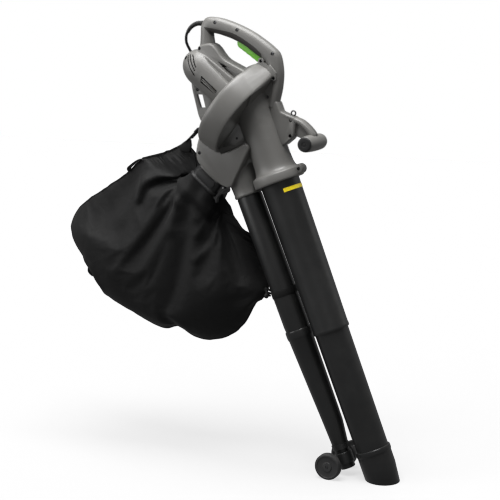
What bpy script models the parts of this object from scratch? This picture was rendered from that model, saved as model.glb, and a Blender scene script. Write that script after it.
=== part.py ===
"""Leaf blower vacuum: an electric garden blower that also sucks leaves into a bag.

Metres, +X forward, +Y to the tool's left, +Z up. The tool leans back as it is used, and the origin is
the middle of the main grip, where a hand holds it. Three frames carry the pieces: the fan frame on the
motor's axis, the tube frame on the vacuum tube's axis, and the blower frame on the blow tube's axis.
"""
import math

import bmesh
import bpy
from mathutils import Matrix, Vector

# General
WALL = 0.0025             # moulded plastic walls
FIT = 0.0003              # gap between pieces that touch
CUT_REACH = 0.02          # how far a cutter runs past its piece
SEAM = 0.00015            # half the gap along the seam of the two housings

# Fan frame: Z runs from the volute's front face back along the motor
FAN_TILT = math.radians(-54.0)
MOTOR_X = 0.047           # motor axis at the volute's front face
MOTOR_Z = -0.183
VOLUTE_DROP = 0.022       # the volute's centre lies this far below the motor axis, towards the outlet
VOLUTE_FRONT_RADIUS = 0.107
VOLUTE_BACK_RADIUS = 0.112
VOLUTE_DEPTH = 0.059
VOLUTE_CORNER = 0.00375    # slant of the drum's inner back corner
VOLUTE_BACK_RIM = 0.098
FACE_RECESS = 0.003
FACE_LIP = 0.005
MOTOR_CASE_RADIUS = 0.043
MOTOR_CASE_END = 0.219
MOTOR_CASE_DOME = 0.059
SHAFT_RADIUS = 0.004
SHAFT_FRONT = 0.012
BEARING_RADIUS = 0.011
BEARING_LENGTH = 0.009
FRONT_BEARING_AT = 0.0635
BULKHEAD_THICKNESS = 0.004
BULKHEAD_HOLE = 0.036
BOSS_RADIUS = 0.015
COOLING_FAN_AT = 0.078
COOLING_FAN_RADIUS = 0.034
COOLING_FAN_DEPTH = 0.012
CORE_RADIUS = 0.021
CORE_AT = 0.098
CORE_LENGTH = 0.045
AIR_GAP = 0.0007
COMMUTATOR_AT = 0.147
COMMUTATOR_LENGTH = 0.016
COMMUTATOR_RADIUS = 0.013
BRUSH_SIZE = 0.008
BRUSH_HOLDER_SIZE = 0.013
REAR_BEARING_AT = 0.170
IMPELLER_RADIUS = 0.074
IMPELLER_AT = 0.012
IMPELLER_DEPTH = 0.030
IMPELLER_HUB = 0.012
IMPELLER_VANES = 8
NUT_RADIUS = 0.0075
VANE_THICKNESS = 0.003

# Handle: the loop of the main handle is given by pairs of points on its outer and inner line
GRIP_HALF_WIDTH = 0.0165
SPINE_HALF_WIDTH = 0.021
HANDLE_PAIRS = [
    ((-0.094, -0.062), (-0.046, -0.066)),
    ((-0.088, -0.030), (-0.053, -0.028)),
    ((-0.086, -0.008), (-0.056, -0.012)),
    ((-0.084, 0.014), (-0.056, -0.003)),
    ((-0.072, 0.031), (-0.050, -0.005)),
    ((-0.050, 0.0325), (-0.040, -0.007)),
    ((-0.025, 0.028), (-0.029, -0.010)),
    ((0.012, 0.016), (-0.001, -0.019)),
    ((0.048, 0.000), (0.029, -0.034)),
    ((0.075, -0.016), (0.051, -0.049)),
    ((0.102, -0.035), (0.071, -0.064)),
    ((0.118, -0.053), (0.081, -0.078)),
    ((0.124, -0.089), (0.090, -0.096)),
    ((0.122, -0.124), (0.094, -0.124)),
    ((0.113, -0.160), (0.086, -0.156)),
]
SPINE_OUTLINE = [(-0.086, -0.034), (-0.056, -0.028), (-0.046, -0.033), (-0.036, -0.042), (-0.027, -0.055),
                 (-0.019, -0.064), (-0.006, -0.070), (0.024, -0.084), (0.050, -0.096), (0.030, -0.140),
                 (-0.030, -0.110), (-0.088, -0.064)]
INSERT_LINE = [(-0.072, 0.009), (-0.046, 0.005), (0.004, -0.005), (0.050, -0.030), (0.0745, -0.0495)]
INSERT_UNDER = [(0.066, -0.0705), (0.030, -0.050), (-0.020, -0.026), (-0.052, -0.014), (-0.066, -0.006)]

TRIGGER_PIVOT = (0.0775, -0.0645)
TRIGGER_HALF_WIDTH = 0.009
TRIGGER_PIN_RADIUS = 0.0025
TRIGGER_PIN_HALF_LENGTH = 0.0135
PIVOT_BOSS_RADIUS = 0.0055
TRIGGER_TRAVEL = math.radians(7.0)
TRIGGER_OUTLINE = [(0.012, -0.018), (0.010, -0.030), (0.017, -0.038), (0.031, -0.047), (0.047, -0.058),
                   (0.060, -0.068), (0.073, -0.0725), (0.084, -0.070), (0.0855, -0.060), (0.078, -0.055),
                   (0.064, -0.0505), (0.042, -0.035), (0.024, -0.022)]
SWITCH_DEPTH = 0.0145
SWITCH_HALF_WIDTH = 0.0075
SWITCH_DROP = 0.0054      # below the outer line of the grip

# Discharge duct, bag outlet and blow outlet
DUCT_HALF_WIDTH = 0.046
DUCT_OUTLINE = [(-0.073, -0.246), (-0.0775, -0.262), (-0.080, -0.283), (-0.075, -0.305), (-0.016, -0.353),
                (0.004, -0.363), (0.014, -0.356), (0.056, -0.268), (0.020, -0.2725), (-0.0165, -0.2785),
                (-0.036, -0.252)]
OUTLET_TILT = math.radians(-140.9)
OUTLET_CENTRE = (-0.0455, -0.329)
OUTLET_LENGTH = 0.076
SPIGOT_REACH = 0.012
COLLAR_REACH = 0.034
COLLAR_LIP = 0.006
FLAP_PIVOT = (-0.001, -0.347)
FLAP_LENGTH = 0.060
FLAP_THICKNESS = 0.003
FLAP_SHAFT_RADIUS = 0.004
FLAP_REST = math.radians(55.0)      # over the blow outlet
LEVER_LENGTH = 0.040
LEVER_THICKNESS = 0.007
LEVER_REST = math.radians(-20.0)

# Tube frame: Z up the vacuum tube, origin where the tube enters the flange
LEAN = math.radians(-21.5)
TUBE_TOP = (0.1156, -0.3431)
FLANGE_RADIUS = 0.0585
FLANGE_HEIGHT = 0.021
FLANGE_SHOULDER = 0.040
PIPE_RADIUS = 0.0455
PIPE_TOP = 0.212
TUBE_TOP_RADIUS = 0.046
TUBE_JOINT_RADIUS = 0.0424
TUBE_JOINT_AT = 0.366
TUBE_INSERTION = 0.018
TUBE_OVERLAP = 0.030
LOWER_TOP_RADIUS = 0.0395
LOWER_END_RADIUS = 0.0376
MOUTH_AT = 0.735
MOUTH_RING_AT = 0.657
MOUTH_RING_RADIUS = 0.0412
MOUTH_RADIUS = 0.0408
MOUTH_SEAT = 0.030
BAND_AT = 0.013
BAND_HEIGHT = 0.009
BAND_HALF_ANGLE = math.radians(62.0)
BAND_THICKNESS = 0.0006
TUBE_STEPS = 32
EAR_RADIUS = 0.0088
EAR_HALF_WIDTH = 0.013
EAR_X = 0.0633
EAR_Z = 0.0125

# Blower frame: Z up the blow tube, origin where the tube enters its socket
BLOW_LEAN = math.radians(-22.4)
BLOW_TOP = (0.037, -0.3795)
BLOW_RADIUS = 0.029
SOCKET_RADIUS = 0.0325
SOCKET_HEIGHT = 0.070
SOCKET_DEPTH = 0.022
BLOW_JOINT_AT = 0.335
NOZZLE_TAPER_END = 0.600
NOZZLE_RADIUS = 0.0170
NOZZLE_END = 0.681
NOZZLE_COLLAR = 0.018
CLIP_AT = 0.622
CLIP_HEIGHT = 0.012
CLIP_WALL = 0.003
BRACKET_AT = 0.643
BRACKET_HEIGHT = 0.026
AXLE_AT = 0.6577
AXLE_BACK = 0.0235
AXLE_RADIUS = 0.004
WHEEL_RADIUS = 0.0305
WHEEL_WIDTH = 0.017
TRACK = 0.100
HUB_RADIUS = 0.009

# Front handle, strap eye and rear bracket
ARM_BASE = [(0.094, -0.160), (0.112, -0.186), (0.154, -0.198), (0.143, -0.244), (0.134, -0.256),
            (0.110, -0.262)]
BASE_HALF_WIDTH = 0.015
ARM_PAIRS = [
    ((0.1548, -0.1982), (0.1432, -0.2442)),
    ((0.166, -0.197), (0.152, -0.242)),
    ((0.180, -0.204), (0.160, -0.240)),
    ((0.194, -0.217), (0.176, -0.243)),
    ((0.2045, -0.2335), (0.1875, -0.2535)),
]
ARM_HALF_WIDTH = 0.0145
FRONT_GRIP = (0.197, -0.2495)
FRONT_GRIP_RADIUS = 0.0195
FRONT_GRIP_END_RADIUS = 0.0165
FRONT_GRIP_LENGTH = 0.108
CAP_THICKNESS = 0.004
EYE_CENTRE = (0.150, -0.184)
EYE_RADIUS = 0.0071
EYE_WIRE = 0.0017
HOOK_OUTLINE = [(-0.114, -0.119), (-0.107, -0.156), (-0.096, -0.197), (-0.090, -0.212), (-0.060, -0.236),
                (-0.030, -0.190), (-0.050, -0.120)]
HOOK_HALF_WIDTH = 0.0045
SLOT_OUTLINE = [(-0.0990, -0.1480), (-0.0835, -0.1480), (-0.0755, -0.1780), (-0.0890, -0.1790)]

# Bag latch, strap and tie. The latch's points are (x, z) in the outlet frame
LATCH_PIVOT = (-0.0475, 0.002)
LATCH_Y = -0.034
LATCH_HALF_WIDTH = 0.006
LATCH_OUTLINE = [(-0.0440, -0.0010), (-0.0440, 0.0346), (-0.0395, 0.0346), (-0.0425, 0.0385), (-0.0500, 0.0400),
                 (-0.0530, 0.0440), (-0.0550, 0.0430), (-0.0495, 0.0340), (-0.0480, 0.0060), (-0.0505, 0.0020),
                 (-0.0480, -0.0010)]
LATCH_EAR_WIDTH = 0.004
LATCH_PIN_RADIUS = 0.0015
STRAP_HALF_WIDTH = 0.009
STRAP_OUTLINE = [(-0.0904, -0.2128), (-0.0765, -0.2239), (-0.0785, -0.2262), (-0.0908, -0.2172),
                 (-0.1235, -0.2800), (-0.1350, -0.2830), (-0.1330, -0.2740), (-0.0930, -0.2140)]
TIE_AT = 0.232
TIE_HEIGHT = 0.020
TIE_WALL = 0.002
TIE_REACH = 0.088

# Bag
BAG_CENTRE = (-0.200, -0.510)
BAG_HALF_DEPTH = 0.082
BAG_OUTLINE = [(-0.128, -0.290), (-0.180, -0.278), (-0.232, -0.287), (-0.285, -0.315), (-0.345, -0.352),
               (-0.405, -0.400), (-0.448, -0.445), (-0.462, -0.485), (-0.452, -0.535), (-0.425, -0.590),
               (-0.385, -0.640), (-0.325, -0.682), (-0.250, -0.712), (-0.180, -0.722), (-0.120, -0.732),
               (-0.060, -0.735), (-0.010, -0.715), (0.030, -0.670), (0.052, -0.625), (0.050, -0.580),
               (0.034, -0.520), (0.012, -0.465), (-0.012, -0.425)]

# Cord: strain relief at the rear of the grip, then a short lead with a plug
RELIEF_ROUTE = [(-0.0865, 0.0, 0.0175), (-0.098, 0.0, 0.0170), (-0.109, 0.0, 0.0125),
                (-0.118, 0.0005, 0.0055), (-0.1245, 0.0015, -0.003)]
RELIEF_ANCHOR = (-0.0715, 0.0, 0.0178)
RELIEF_RADIUS = 0.0062
RELIEF_TIP_RADIUS = 0.0044
CORD_RADIUS = 0.0033
CORD_ROUTE = [(-0.1300, 0.0036, -0.0140), (-0.1320, 0.0085, -0.028),
              (-0.1290, 0.0180, -0.044), (-0.1250, 0.0310, -0.062), (-0.1195, 0.0440, -0.083),
              (-0.1140, 0.0550, -0.108), (-0.1095, 0.0620, -0.138), (-0.1065, 0.0655, -0.170),
              (-0.1050, 0.0670, -0.205), (-0.1045, 0.0675, -0.240)]
PLUG_LENGTH = 0.046
PLUG_RADIUS = 0.0135

# Screws of the housing: place on its side, depth of the head from the mid-plane, reach of its column
SCREW_HEAD_RADIUS = 0.0034
SCREW_HEAD_HEIGHT = 0.0025
SCREW_SHANK_RADIUS = 0.0016
SCREW_BOSS_RADIUS = 0.0050
SCREW_REACH = 0.0085      # depth of thread in the far housing
HOUSING_SCREWS = {
    "grip_rear_screw": ((-0.044, 0.020), 0.0115, 0.0145),
    "grip_middle_screw": ((0.0135, 0.0035), 0.0115, 0.0145),
    "grip_front_screw": ((0.103, -0.0490), 0.0115, 0.0145),
    "post_screw": ((0.108, -0.104), 0.0115, 0.0145),
    "spine_screw": ((-0.042, -0.060), 0.0150, 0.0195),
    "duct_screw": ((-0.070, -0.281), 0.0400, 0.0445),
}
EAR_SCREW_DEPTH = 0.0085

SMOOTH_ANGLE = math.radians(35.0)
MERGE = 5e-6


def clear_scene():
    for thing in list(bpy.data.objects):
        bpy.data.objects.remove(thing, do_unlink=True)
    for mesh in list(bpy.data.meshes):
        bpy.data.meshes.remove(mesh)


def finish(name, colour, roughness, metallic=0.0):
    """A plain Principled material."""
    made = bpy.data.materials.new(name)
    made.use_nodes = True
    shader = made.node_tree.nodes["Principled BSDF"]
    shader.inputs["Base Color"].default_value = (*colour, 1.0)
    shader.inputs["Roughness"].default_value = roughness
    shader.inputs["Metallic"].default_value = metallic
    return made


def empty(name, x, z, turn=0.0, y=0.0):
    """A frame at a place in the mid-plane, turned about Y."""
    frame = bpy.data.objects.new(name, None)
    bpy.context.scene.collection.objects.link(frame)
    frame.location = (x, y, z)
    frame.rotation_euler = (0.0, turn, 0.0)
    return frame


def add(name, bm, look=None, parent=None, location=(0.0, 0.0, 0.0), turn=(0.0, 0.0, 0.0)):
    """Turns a bmesh into a named object with its normals facing out."""
    bmesh.ops.remove_doubles(bm, verts=bm.verts, dist=1e-6)
    bmesh.ops.recalc_face_normals(bm, faces=bm.faces)
    mesh = bpy.data.meshes.new(name)
    bm.to_mesh(mesh)
    bm.free()
    thing = bpy.data.objects.new(name, mesh)
    bpy.context.scene.collection.objects.link(thing)
    thing.parent = parent
    thing.location = location
    thing.rotation_euler = turn
    if look:
        mesh.materials.append(look)
    return thing


def shade(thing):
    thing.data.shade_smooth()
    thing.data.set_sharp_from_angle(angle=SMOOTH_ANGLE)
    return thing


def combine(target, others, operation):
    """Applies one Boolean after another to the target and removes the other solids."""
    looks = list(target.data.materials)
    for other in others:
        step = target.modifiers.new(operation.title(), "BOOLEAN")
        step.object = other
        step.operation = operation
        step.solver = "EXACT"
        bpy.context.view_layer.update()
        graph = bpy.context.evaluated_depsgraph_get()
        mesh = bpy.data.meshes.new_from_object(target.evaluated_get(graph))
        target.modifiers.clear()
        target.data = mesh
        bpy.data.objects.remove(other, do_unlink=True)
        clean(target)
    target.data.materials.clear()
    for look in looks:
        target.data.materials.append(look)
    return target


def clean(thing):
    """Merges the specks that a Boolean leaves where faces nearly meet."""
    bm = bmesh.new()
    bm.from_mesh(thing.data)
    bmesh.ops.remove_doubles(bm, verts=bm.verts, dist=MERGE)
    bmesh.ops.dissolve_degenerate(bm, edges=bm.edges, dist=MERGE)
    bm.to_mesh(thing.data)
    bm.free()
    return thing


def union(target, *others):
    return combine(target, others, "UNION")


def cut(target, *others):
    return combine(target, others, "DIFFERENCE")


def keep(target, *others):
    return combine(target, others, "INTERSECT")


def twin(thing, name):
    """A copy with its own mesh in the same place."""
    made = thing.copy()
    made.data = thing.data.copy()
    made.name = name
    bpy.context.scene.collection.objects.link(made)
    return made


def turned(profile, steps=32, closed=False):
    """Spins (radius, z) points round Z. A closed profile makes a ring, an open one runs pole to pole."""
    bm = bmesh.new()
    rings = []
    for radius, z in profile:
        if radius < 1e-7:
            rings.append([bm.verts.new((0.0, 0.0, z))])
            continue
        turns = [2.0 * math.pi * k / steps for k in range(steps)]
        rings.append([bm.verts.new((radius * math.cos(a), radius * math.sin(a), z)) for a in turns])
    pairs = list(zip(rings, rings[1:] + (rings[:1] if closed else [])))
    for low, high in pairs:
        for k in range(steps):
            near = (k + 1) % steps
            corners = [low[k % len(low)], low[near % len(low)], high[near % len(high)], high[k % len(high)]]
            face = list(dict.fromkeys(corners))
            if len(face) > 2:
                bm.faces.new(face)
    return bm


def disc(radius, low, high, steps=32):
    return turned([(0.0, low), (radius, low), (radius, high), (0.0, high)], steps)


def ring(inner, outer, low, high, steps=32):
    return turned([(inner, low), (outer, low), (outer, high), (inner, high)], steps, closed=True)


def through(points, steps):
    """A smooth open line through the points, with steps pieces between two points."""
    made = []
    ends = [points[0], *points, points[-1]]
    for k in range(1, len(ends) - 2):
        a, b, c, d = (Vector(p) for p in ends[k - 1:k + 3])
        for step in range(steps):
            t = step / steps
            made.append(0.5 * ((2.0 * b) + (c - a) * t + (2.0 * a - 5.0 * b + 4.0 * c - d) * t ** 2
                               + (3.0 * b - a - 3.0 * c + d) * t ** 3))
    made.append(Vector(points[-1]))
    return made


def through_closed(points, steps):
    """A smooth closed line through the points."""
    made = []
    count = len(points)
    for k in range(count):
        a, b, c, d = (Vector(points[(k + shift) % count]) for shift in (-1, 0, 1, 2))
        for step in range(steps):
            t = step / steps
            made.append(0.5 * ((2.0 * b) + (c - a) * t + (2.0 * a - 5.0 * b + 4.0 * c - d) * t ** 2
                               + (3.0 * b - a - 3.0 * c + d) * t ** 3))
    return made


def inset(outline, depth):
    """Moves each corner of a closed outline inwards, so that its edges move in by the depth."""
    points = [Vector(p) for p in outline]
    area = sum(a.x * b.y - b.x * a.y for a, b in zip(points, points[1:] + points[:1]))
    side = 1.0 if area > 0.0 else -1.0
    made = []
    for k, point in enumerate(points):
        before = (point - points[k - 1]).normalized()
        after = (points[(k + 1) % len(points)] - point).normalized()
        inner_a = Vector((-before.y, before.x)) * side
        inner_b = Vector((-after.y, after.x)) * side
        middle = (inner_a + inner_b).normalized()
        made.append(point + middle * depth / max(0.4, middle.dot(inner_a)))
    return made


def stack(rings, closed=False):
    """Joins rings of equally many points into one closed skin with capped ends."""
    bm = bmesh.new()
    rows = [[bm.verts.new(p) for p in points] for points in rings]
    count = len(rows[0])
    for low, high in zip(rows, rows[1:] + (rows[:1] if closed else [])):
        for k in range(count):
            bm.faces.new((low[k], low[(k + 1) % count], high[(k + 1) % count], high[k]))
    if not closed:
        bm.faces.new(rows[0])
        bm.faces.new(rows[-1])
    return bm


def prism(outline, low, high):
    """An outline in the XZ plane pulled along Y."""
    return stack([[(p[0], y, p[1]) for p in outline] for y in (low, high)])


def rounded_prism(outline, half_width, rounding, steps=2):
    """A prism whose two sides meet its edge in a round."""
    rings = []
    for side in (-1.0, 1.0):
        for step in (range(steps + 1) if side < 0.0 else range(steps, -1, -1)):
            angle = 0.5 * math.pi * step / steps
            depth = rounding * (1.0 - math.sin(angle))
            y = side * (half_width - rounding * (1.0 - math.cos(angle)))
            rings.append([(p.x, y, p.y) for p in inset(outline, depth)])
    return stack(rings)


def swept(pairs, half_width, shrink=0.0, smooth=2, points=12, squareness=2.6):
    """A handle's solid through pairs of outer and inner points, round in section."""
    outers = through([p[0] for p in pairs], smooth)
    inners = through([p[1] for p in pairs], smooth)
    rings = []
    for outer, inner in zip(outers, inners):
        middle = (outer + inner) / 2.0
        reach = outer - middle
        high = reach.length - shrink
        wide = half_width - shrink
        section = []
        for k in range(points):
            angle = 2.0 * math.pi * (k + 0.5) / points
            across, along = math.cos(angle), math.sin(angle)
            size = (abs(across) ** squareness + abs(along) ** squareness) ** (-1.0 / squareness)
            place = middle + reach.normalized() * high * across * size
            section.append((place.x, wide * along * size, place.y))
        rings.append(section)
    return stack(rings)


def tube_along(route, radii, sides=12):
    """A solid that follows a line in space, with a radius at each of its points."""
    points = [Vector(p) for p in route]
    rings = []
    across = None
    for k, point in enumerate(points):
        ahead = (points[min(k + 1, len(points) - 1)] - points[max(k - 1, 0)]).normalized()
        across = (Vector((0.0, 1.0, 0.0)) if across is None else across)
        across = (across - ahead * across.dot(ahead)).normalized()
        third = ahead.cross(across)
        turns = [2.0 * math.pi * s / sides for s in range(sides)]
        rings.append([point + radii[k] * (across * math.cos(a) + third * math.sin(a)) for a in turns])
    return stack(rings)


def box(centre, size):
    bm = bmesh.new()
    bmesh.ops.create_cube(bm, size=1.0)
    bmesh.ops.scale(bm, vec=size, verts=bm.verts)
    bmesh.ops.translate(bm, vec=centre, verts=bm.verts)
    return bm


def pin_solid(centre, radius, low, high, steps=16, parent=None):
    """A round pin or hole along Y at a place in the XZ plane."""
    bm = disc(radius, low, high, steps)
    bmesh.ops.rotate(bm, matrix=Matrix.Rotation(math.radians(-90.0), 3, "X"), verts=bm.verts)
    bmesh.ops.translate(bm, vec=(centre[0], 0.0, centre[1]), verts=bm.verts)
    return add("pin", bm, parent=parent)


def dome_radius(z, radius):
    """The motor case narrows to a dome behind the motor."""
    start = MOTOR_CASE_END - MOTOR_CASE_DOME
    if z <= start:
        return radius
    share = min(1.0, (z - start) / MOTOR_CASE_DOME)
    return radius * math.sqrt(max(0.0, 1.0 - share ** 2))


def motor_case(fan, shrink=0.0):
    """The round case behind the volute, with a domed end."""
    start = MOTOR_CASE_END - MOTOR_CASE_DOME
    steps = 5
    profile = [(0.0, VOLUTE_DEPTH / 2.0), (MOTOR_CASE_RADIUS - shrink, VOLUTE_DEPTH / 2.0)]
    for step in range(steps):
        z = start + (MOTOR_CASE_DOME - shrink) * math.sin(0.5 * math.pi * step / steps)
        radius = (MOTOR_CASE_RADIUS - shrink) * math.cos(0.5 * math.pi * step / steps)
        profile.append((radius, z))
    profile.append((0.0, MOTOR_CASE_END - shrink))
    return add("motor_case", turned(profile, 28), parent=fan)


def volute(fan, shrink=0.0):
    """The fan's drum, wider at the back, with a rim that stands proud of its front face."""
    if shrink:
        profile = [(0.0, FACE_RECESS + shrink), (VOLUTE_FRONT_RADIUS - shrink, FACE_RECESS + shrink),
                   (VOLUTE_BACK_RADIUS - shrink, VOLUTE_DEPTH * 0.6),
                   (VOLUTE_BACK_RADIUS - shrink, VOLUTE_DEPTH - shrink - VOLUTE_CORNER),
                   (VOLUTE_BACK_RIM - shrink, VOLUTE_DEPTH - shrink), (0.0, VOLUTE_DEPTH - shrink)]
    else:
        profile = [(0.0, FACE_RECESS), (VOLUTE_FRONT_RADIUS - FACE_LIP, FACE_RECESS),
                   (VOLUTE_FRONT_RADIUS - FACE_LIP + 0.001, 0.0), (VOLUTE_FRONT_RADIUS - 0.001, 0.0),
                   (VOLUTE_FRONT_RADIUS, 0.002), (VOLUTE_BACK_RADIUS, VOLUTE_DEPTH * 0.6),
                   (VOLUTE_BACK_RADIUS, VOLUTE_DEPTH - 0.008), (VOLUTE_BACK_RADIUS - 0.004, VOLUTE_DEPTH - 0.002),
                   (VOLUTE_BACK_RIM, VOLUTE_DEPTH), (0.0, VOLUTE_DEPTH)]
    return add("volute", turned(profile, 40), parent=fan, location=(-VOLUTE_DROP, 0.0, 0.0))


def intake(tube, shrink=0.0):
    """The flange and pipe that lead from the vacuum tube to the fan's eye."""
    top = PIPE_TOP + shrink
    if shrink:
        profile = [(0.0, -0.001), (TUBE_TOP_RADIUS + FIT, -0.001), (TUBE_TOP_RADIUS + FIT, TUBE_INSERTION),
                   (PIPE_RADIUS - shrink, TUBE_INSERTION + 0.001), (PIPE_RADIUS - shrink, top), (0.0, top)]
    else:
        profile = [(0.0, 0.0), (FLANGE_RADIUS - 0.001, 0.0), (FLANGE_RADIUS, 0.001),
                   (FLANGE_RADIUS, FLANGE_HEIGHT - 0.002), (FLANGE_RADIUS - 0.002, FLANGE_HEIGHT),
                   (PIPE_RADIUS + 0.004, FLANGE_HEIGHT + 0.003), (PIPE_RADIUS, FLANGE_SHOULDER),
                   (PIPE_RADIUS, top), (0.0, top)]
    return add("intake", turned(profile, 32), parent=tube)


def socket(blow, shrink=0.0):
    """The round outlet that the blow tube plugs into."""
    if shrink:
        profile = [(0.0, -0.001), (BLOW_RADIUS + FIT, -0.001), (BLOW_RADIUS + FIT, SOCKET_DEPTH),
                   (BLOW_RADIUS - WALL, SOCKET_DEPTH), (BLOW_RADIUS - WALL, SOCKET_HEIGHT - 0.012),
                   (0.0, SOCKET_HEIGHT - 0.012)]
    else:
        profile = [(0.0, 0.0), (SOCKET_RADIUS, 0.0), (SOCKET_RADIUS, SOCKET_HEIGHT), (0.0, SOCKET_HEIGHT)]
    return add("socket", turned(profile, 28), parent=blow)


def rounded_rectangle(half_x, half_y, corner, steps=3):
    """Points round a rectangle with rounded corners."""
    made = []
    for quarter, (sx, sy) in enumerate(((1, 1), (-1, 1), (-1, -1), (1, -1))):
        for step in range(steps + 1):
            angle = 0.5 * math.pi * (quarter + step / steps)
            made.append((sx * (half_x - corner) + corner * math.cos(angle),
                         sy * (half_y - corner) + corner * math.sin(angle)))
    return made


def collar_solid(outlet, half_x, half_y, corner, low, high, name="collar"):
    outline = rounded_rectangle(half_x, half_y, corner)
    return add(name, stack([[(x, y, z) for x, y in outline] for z in (low, high)]), parent=outlet)


SPIGOT_HALF_X = OUTLET_LENGTH / 2.0 - 0.002
SPIGOT_HALF_Y = DUCT_HALF_WIDTH - 0.003
SPIGOT_CORNER = 0.014


def housing_outer(fan, tube, blow, outlet):
    """The whole outside of the two housings as one solid."""
    shell = add("shell", rounded_prism(SPINE_OUTLINE, SPINE_HALF_WIDTH, 0.005))
    pipe = cut(intake(tube), add("behind", box((0.0, 0.0, 0.3), (0.6, 0.6, 0.59)), parent=fan))
    parts = [
        volute(fan),
        motor_case(fan),
        add("handle", swept(HANDLE_PAIRS, GRIP_HALF_WIDTH)),
        add("duct", rounded_prism(DUCT_OUTLINE, DUCT_HALF_WIDTH, 0.004)),
        pipe,
        socket(blow),
        add("base", rounded_prism(ARM_BASE, BASE_HALF_WIDTH, 0.003)),
        pin_solid((EAR_X, EAR_Z), EAR_RADIUS, -EAR_HALF_WIDTH, EAR_HALF_WIDTH, parent=tube),
        cut(add("hook", rounded_prism(HOOK_OUTLINE, HOOK_HALF_WIDTH, 0.0025)),
            add("slot", prism(SLOT_OUTLINE, -0.05, 0.05))),
        collar_solid(outlet, SPIGOT_HALF_X, SPIGOT_HALF_Y, SPIGOT_CORNER, -0.010, SPIGOT_REACH),
    ]
    for side in (-1.0, 1.0):
        near = LATCH_Y + side * (LATCH_HALF_WIDTH + FIT)
        low, high = sorted((near, near + side * LATCH_EAR_WIDTH))
        x, z = LATCH_PIVOT
        ear = [(x - 0.002, z - 0.004), (x + 0.014, z - 0.014), (x + 0.014, z - 0.001), (x + 0.003, z + 0.0005),
               (x - 0.002, z + 0.003)]
        parts.append(add("latch_ear", prism(ear, low, high), parent=outlet))
    return union(shell, *parts)


def housing_cavities(fan, tube, blow, outlet):
    """The hollows of the housings, each a wall's thickness inside the outer skin."""
    pipe = cut(intake(tube, WALL), add("behind", box((0.0, 0.0, 0.3), (0.6, 0.6, 0.585)), parent=fan))
    duct_hollow = add("duct_hollow", prism(inset(DUCT_OUTLINE, WALL), -DUCT_HALF_WIDTH + WALL,
                                           DUCT_HALF_WIDTH - WALL))
    return [
        volute(fan, WALL),
        motor_case_hollow(fan),
        add("shaft_hole", disc(BULKHEAD_HOLE, VOLUTE_DEPTH - 0.010, VOLUTE_DEPTH + 0.005), parent=fan),
        add("handle_hollow", swept(HANDLE_PAIRS[1:-1], GRIP_HALF_WIDTH, WALL)),
        add("spine_hollow", prism(spine_hollow_outline(), -SPINE_HALF_WIDTH + WALL, SPINE_HALF_WIDTH - WALL)),
        duct_hollow,
        pipe,
        socket(blow, WALL),
        collar_solid(outlet, SPIGOT_HALF_X - WALL, SPIGOT_HALF_Y - WALL, SPIGOT_CORNER - WALL, -0.020,
                     SPIGOT_REACH + 0.01),
    ]


def motor_case_hollow(fan):
    """The hollow that holds the motor, from just behind the volute's back wall."""
    start = MOTOR_CASE_END - MOTOR_CASE_DOME
    steps = 4
    low = VOLUTE_DEPTH + FIT
    radius = MOTOR_CASE_RADIUS - WALL
    profile = [(0.0, low), (radius, low)]
    for step in range(steps):
        angle = 0.5 * math.pi * step / steps
        profile.append((radius * math.cos(angle), start + (MOTOR_CASE_DOME - WALL) * math.sin(angle)))
    profile.append((0.0, MOTOR_CASE_END - WALL))
    return add("motor_hollow", turned(profile, 28), parent=fan)


def spine_hollow_outline():
    """The part of the spine behind the volute."""
    return [(-0.082, -0.040), (-0.056, -0.032), (-0.046, -0.038), (-0.036, -0.048), (-0.030, -0.060),
            (-0.035, -0.090), (-0.084, -0.062)]


def half_space(side):
    """A block on one side of the mid-plane."""
    reach = 0.9
    return add("half", box((0.0, side * (reach / 2.0 + SEAM), -0.1), (reach, reach, reach)))


def screw_boss(place, reach, side):
    """The column in one housing that a screw passes through or bites into."""
    low, high = sorted((side * SEAM, side * reach))
    return pin_solid(place, SCREW_BOSS_RADIUS, low, high, 10)


def screw_cuts(place, head_depth, side, parent=None):
    """The hole, the sunk seat of the head, and the pilot hole."""
    if side < 0.0:
        return [pin_solid(place, SCREW_SHANK_RADIUS + FIT, -head_depth - 0.001, 0.01, 8, parent),
                pin_solid(place, SCREW_HEAD_RADIUS + FIT, -0.08, -head_depth, 12, parent)]
    return [pin_solid(place, SCREW_SHANK_RADIUS + FIT, -0.01, SCREW_REACH + FIT, 8, parent)]


def make_screw(name, place, head_depth, look, parent=None):
    """A pan-head screw that enters from the right-hand side."""
    seat = head_depth + SCREW_REACH + FIT
    top = seat + SCREW_HEAD_HEIGHT
    profile = [(0.0, 0.0), (SCREW_SHANK_RADIUS * 0.4, 0.0), (SCREW_SHANK_RADIUS, SCREW_SHANK_RADIUS),
               (SCREW_SHANK_RADIUS, seat), (SCREW_HEAD_RADIUS, seat), (SCREW_HEAD_RADIUS, top - 0.0008),
               (SCREW_HEAD_RADIUS * 0.7, top), (0.0, top)]
    spot = (place[0], SCREW_REACH, place[1])
    return shade(add(name, turned(profile, 10), look, parent, spot, (math.radians(90.0), 0.0, 0.0)))


def trigger_well():
    """Room for the trigger in the grip, through its stroke."""
    outline = [(0.0075, -0.045), (0.0075, -0.006), (0.024, -0.0085), (0.048, -0.024), (0.080, -0.044),
               (0.0925, -0.055), (0.0925, -0.076), (0.080, -0.0815), (0.060, -0.078)]
    return add("well", prism(outline, -TRIGGER_HALF_WIDTH - FIT, TRIGGER_HALF_WIDTH + FIT))


def insert_zone(grow=0.0):
    """The lower part of the grip that the soft insert fills."""
    line = through(INSERT_LINE, 3) + [Vector(p) for p in INSERT_UNDER]
    return add("zone", prism(inset(line, -grow), -0.05, 0.05))


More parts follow.
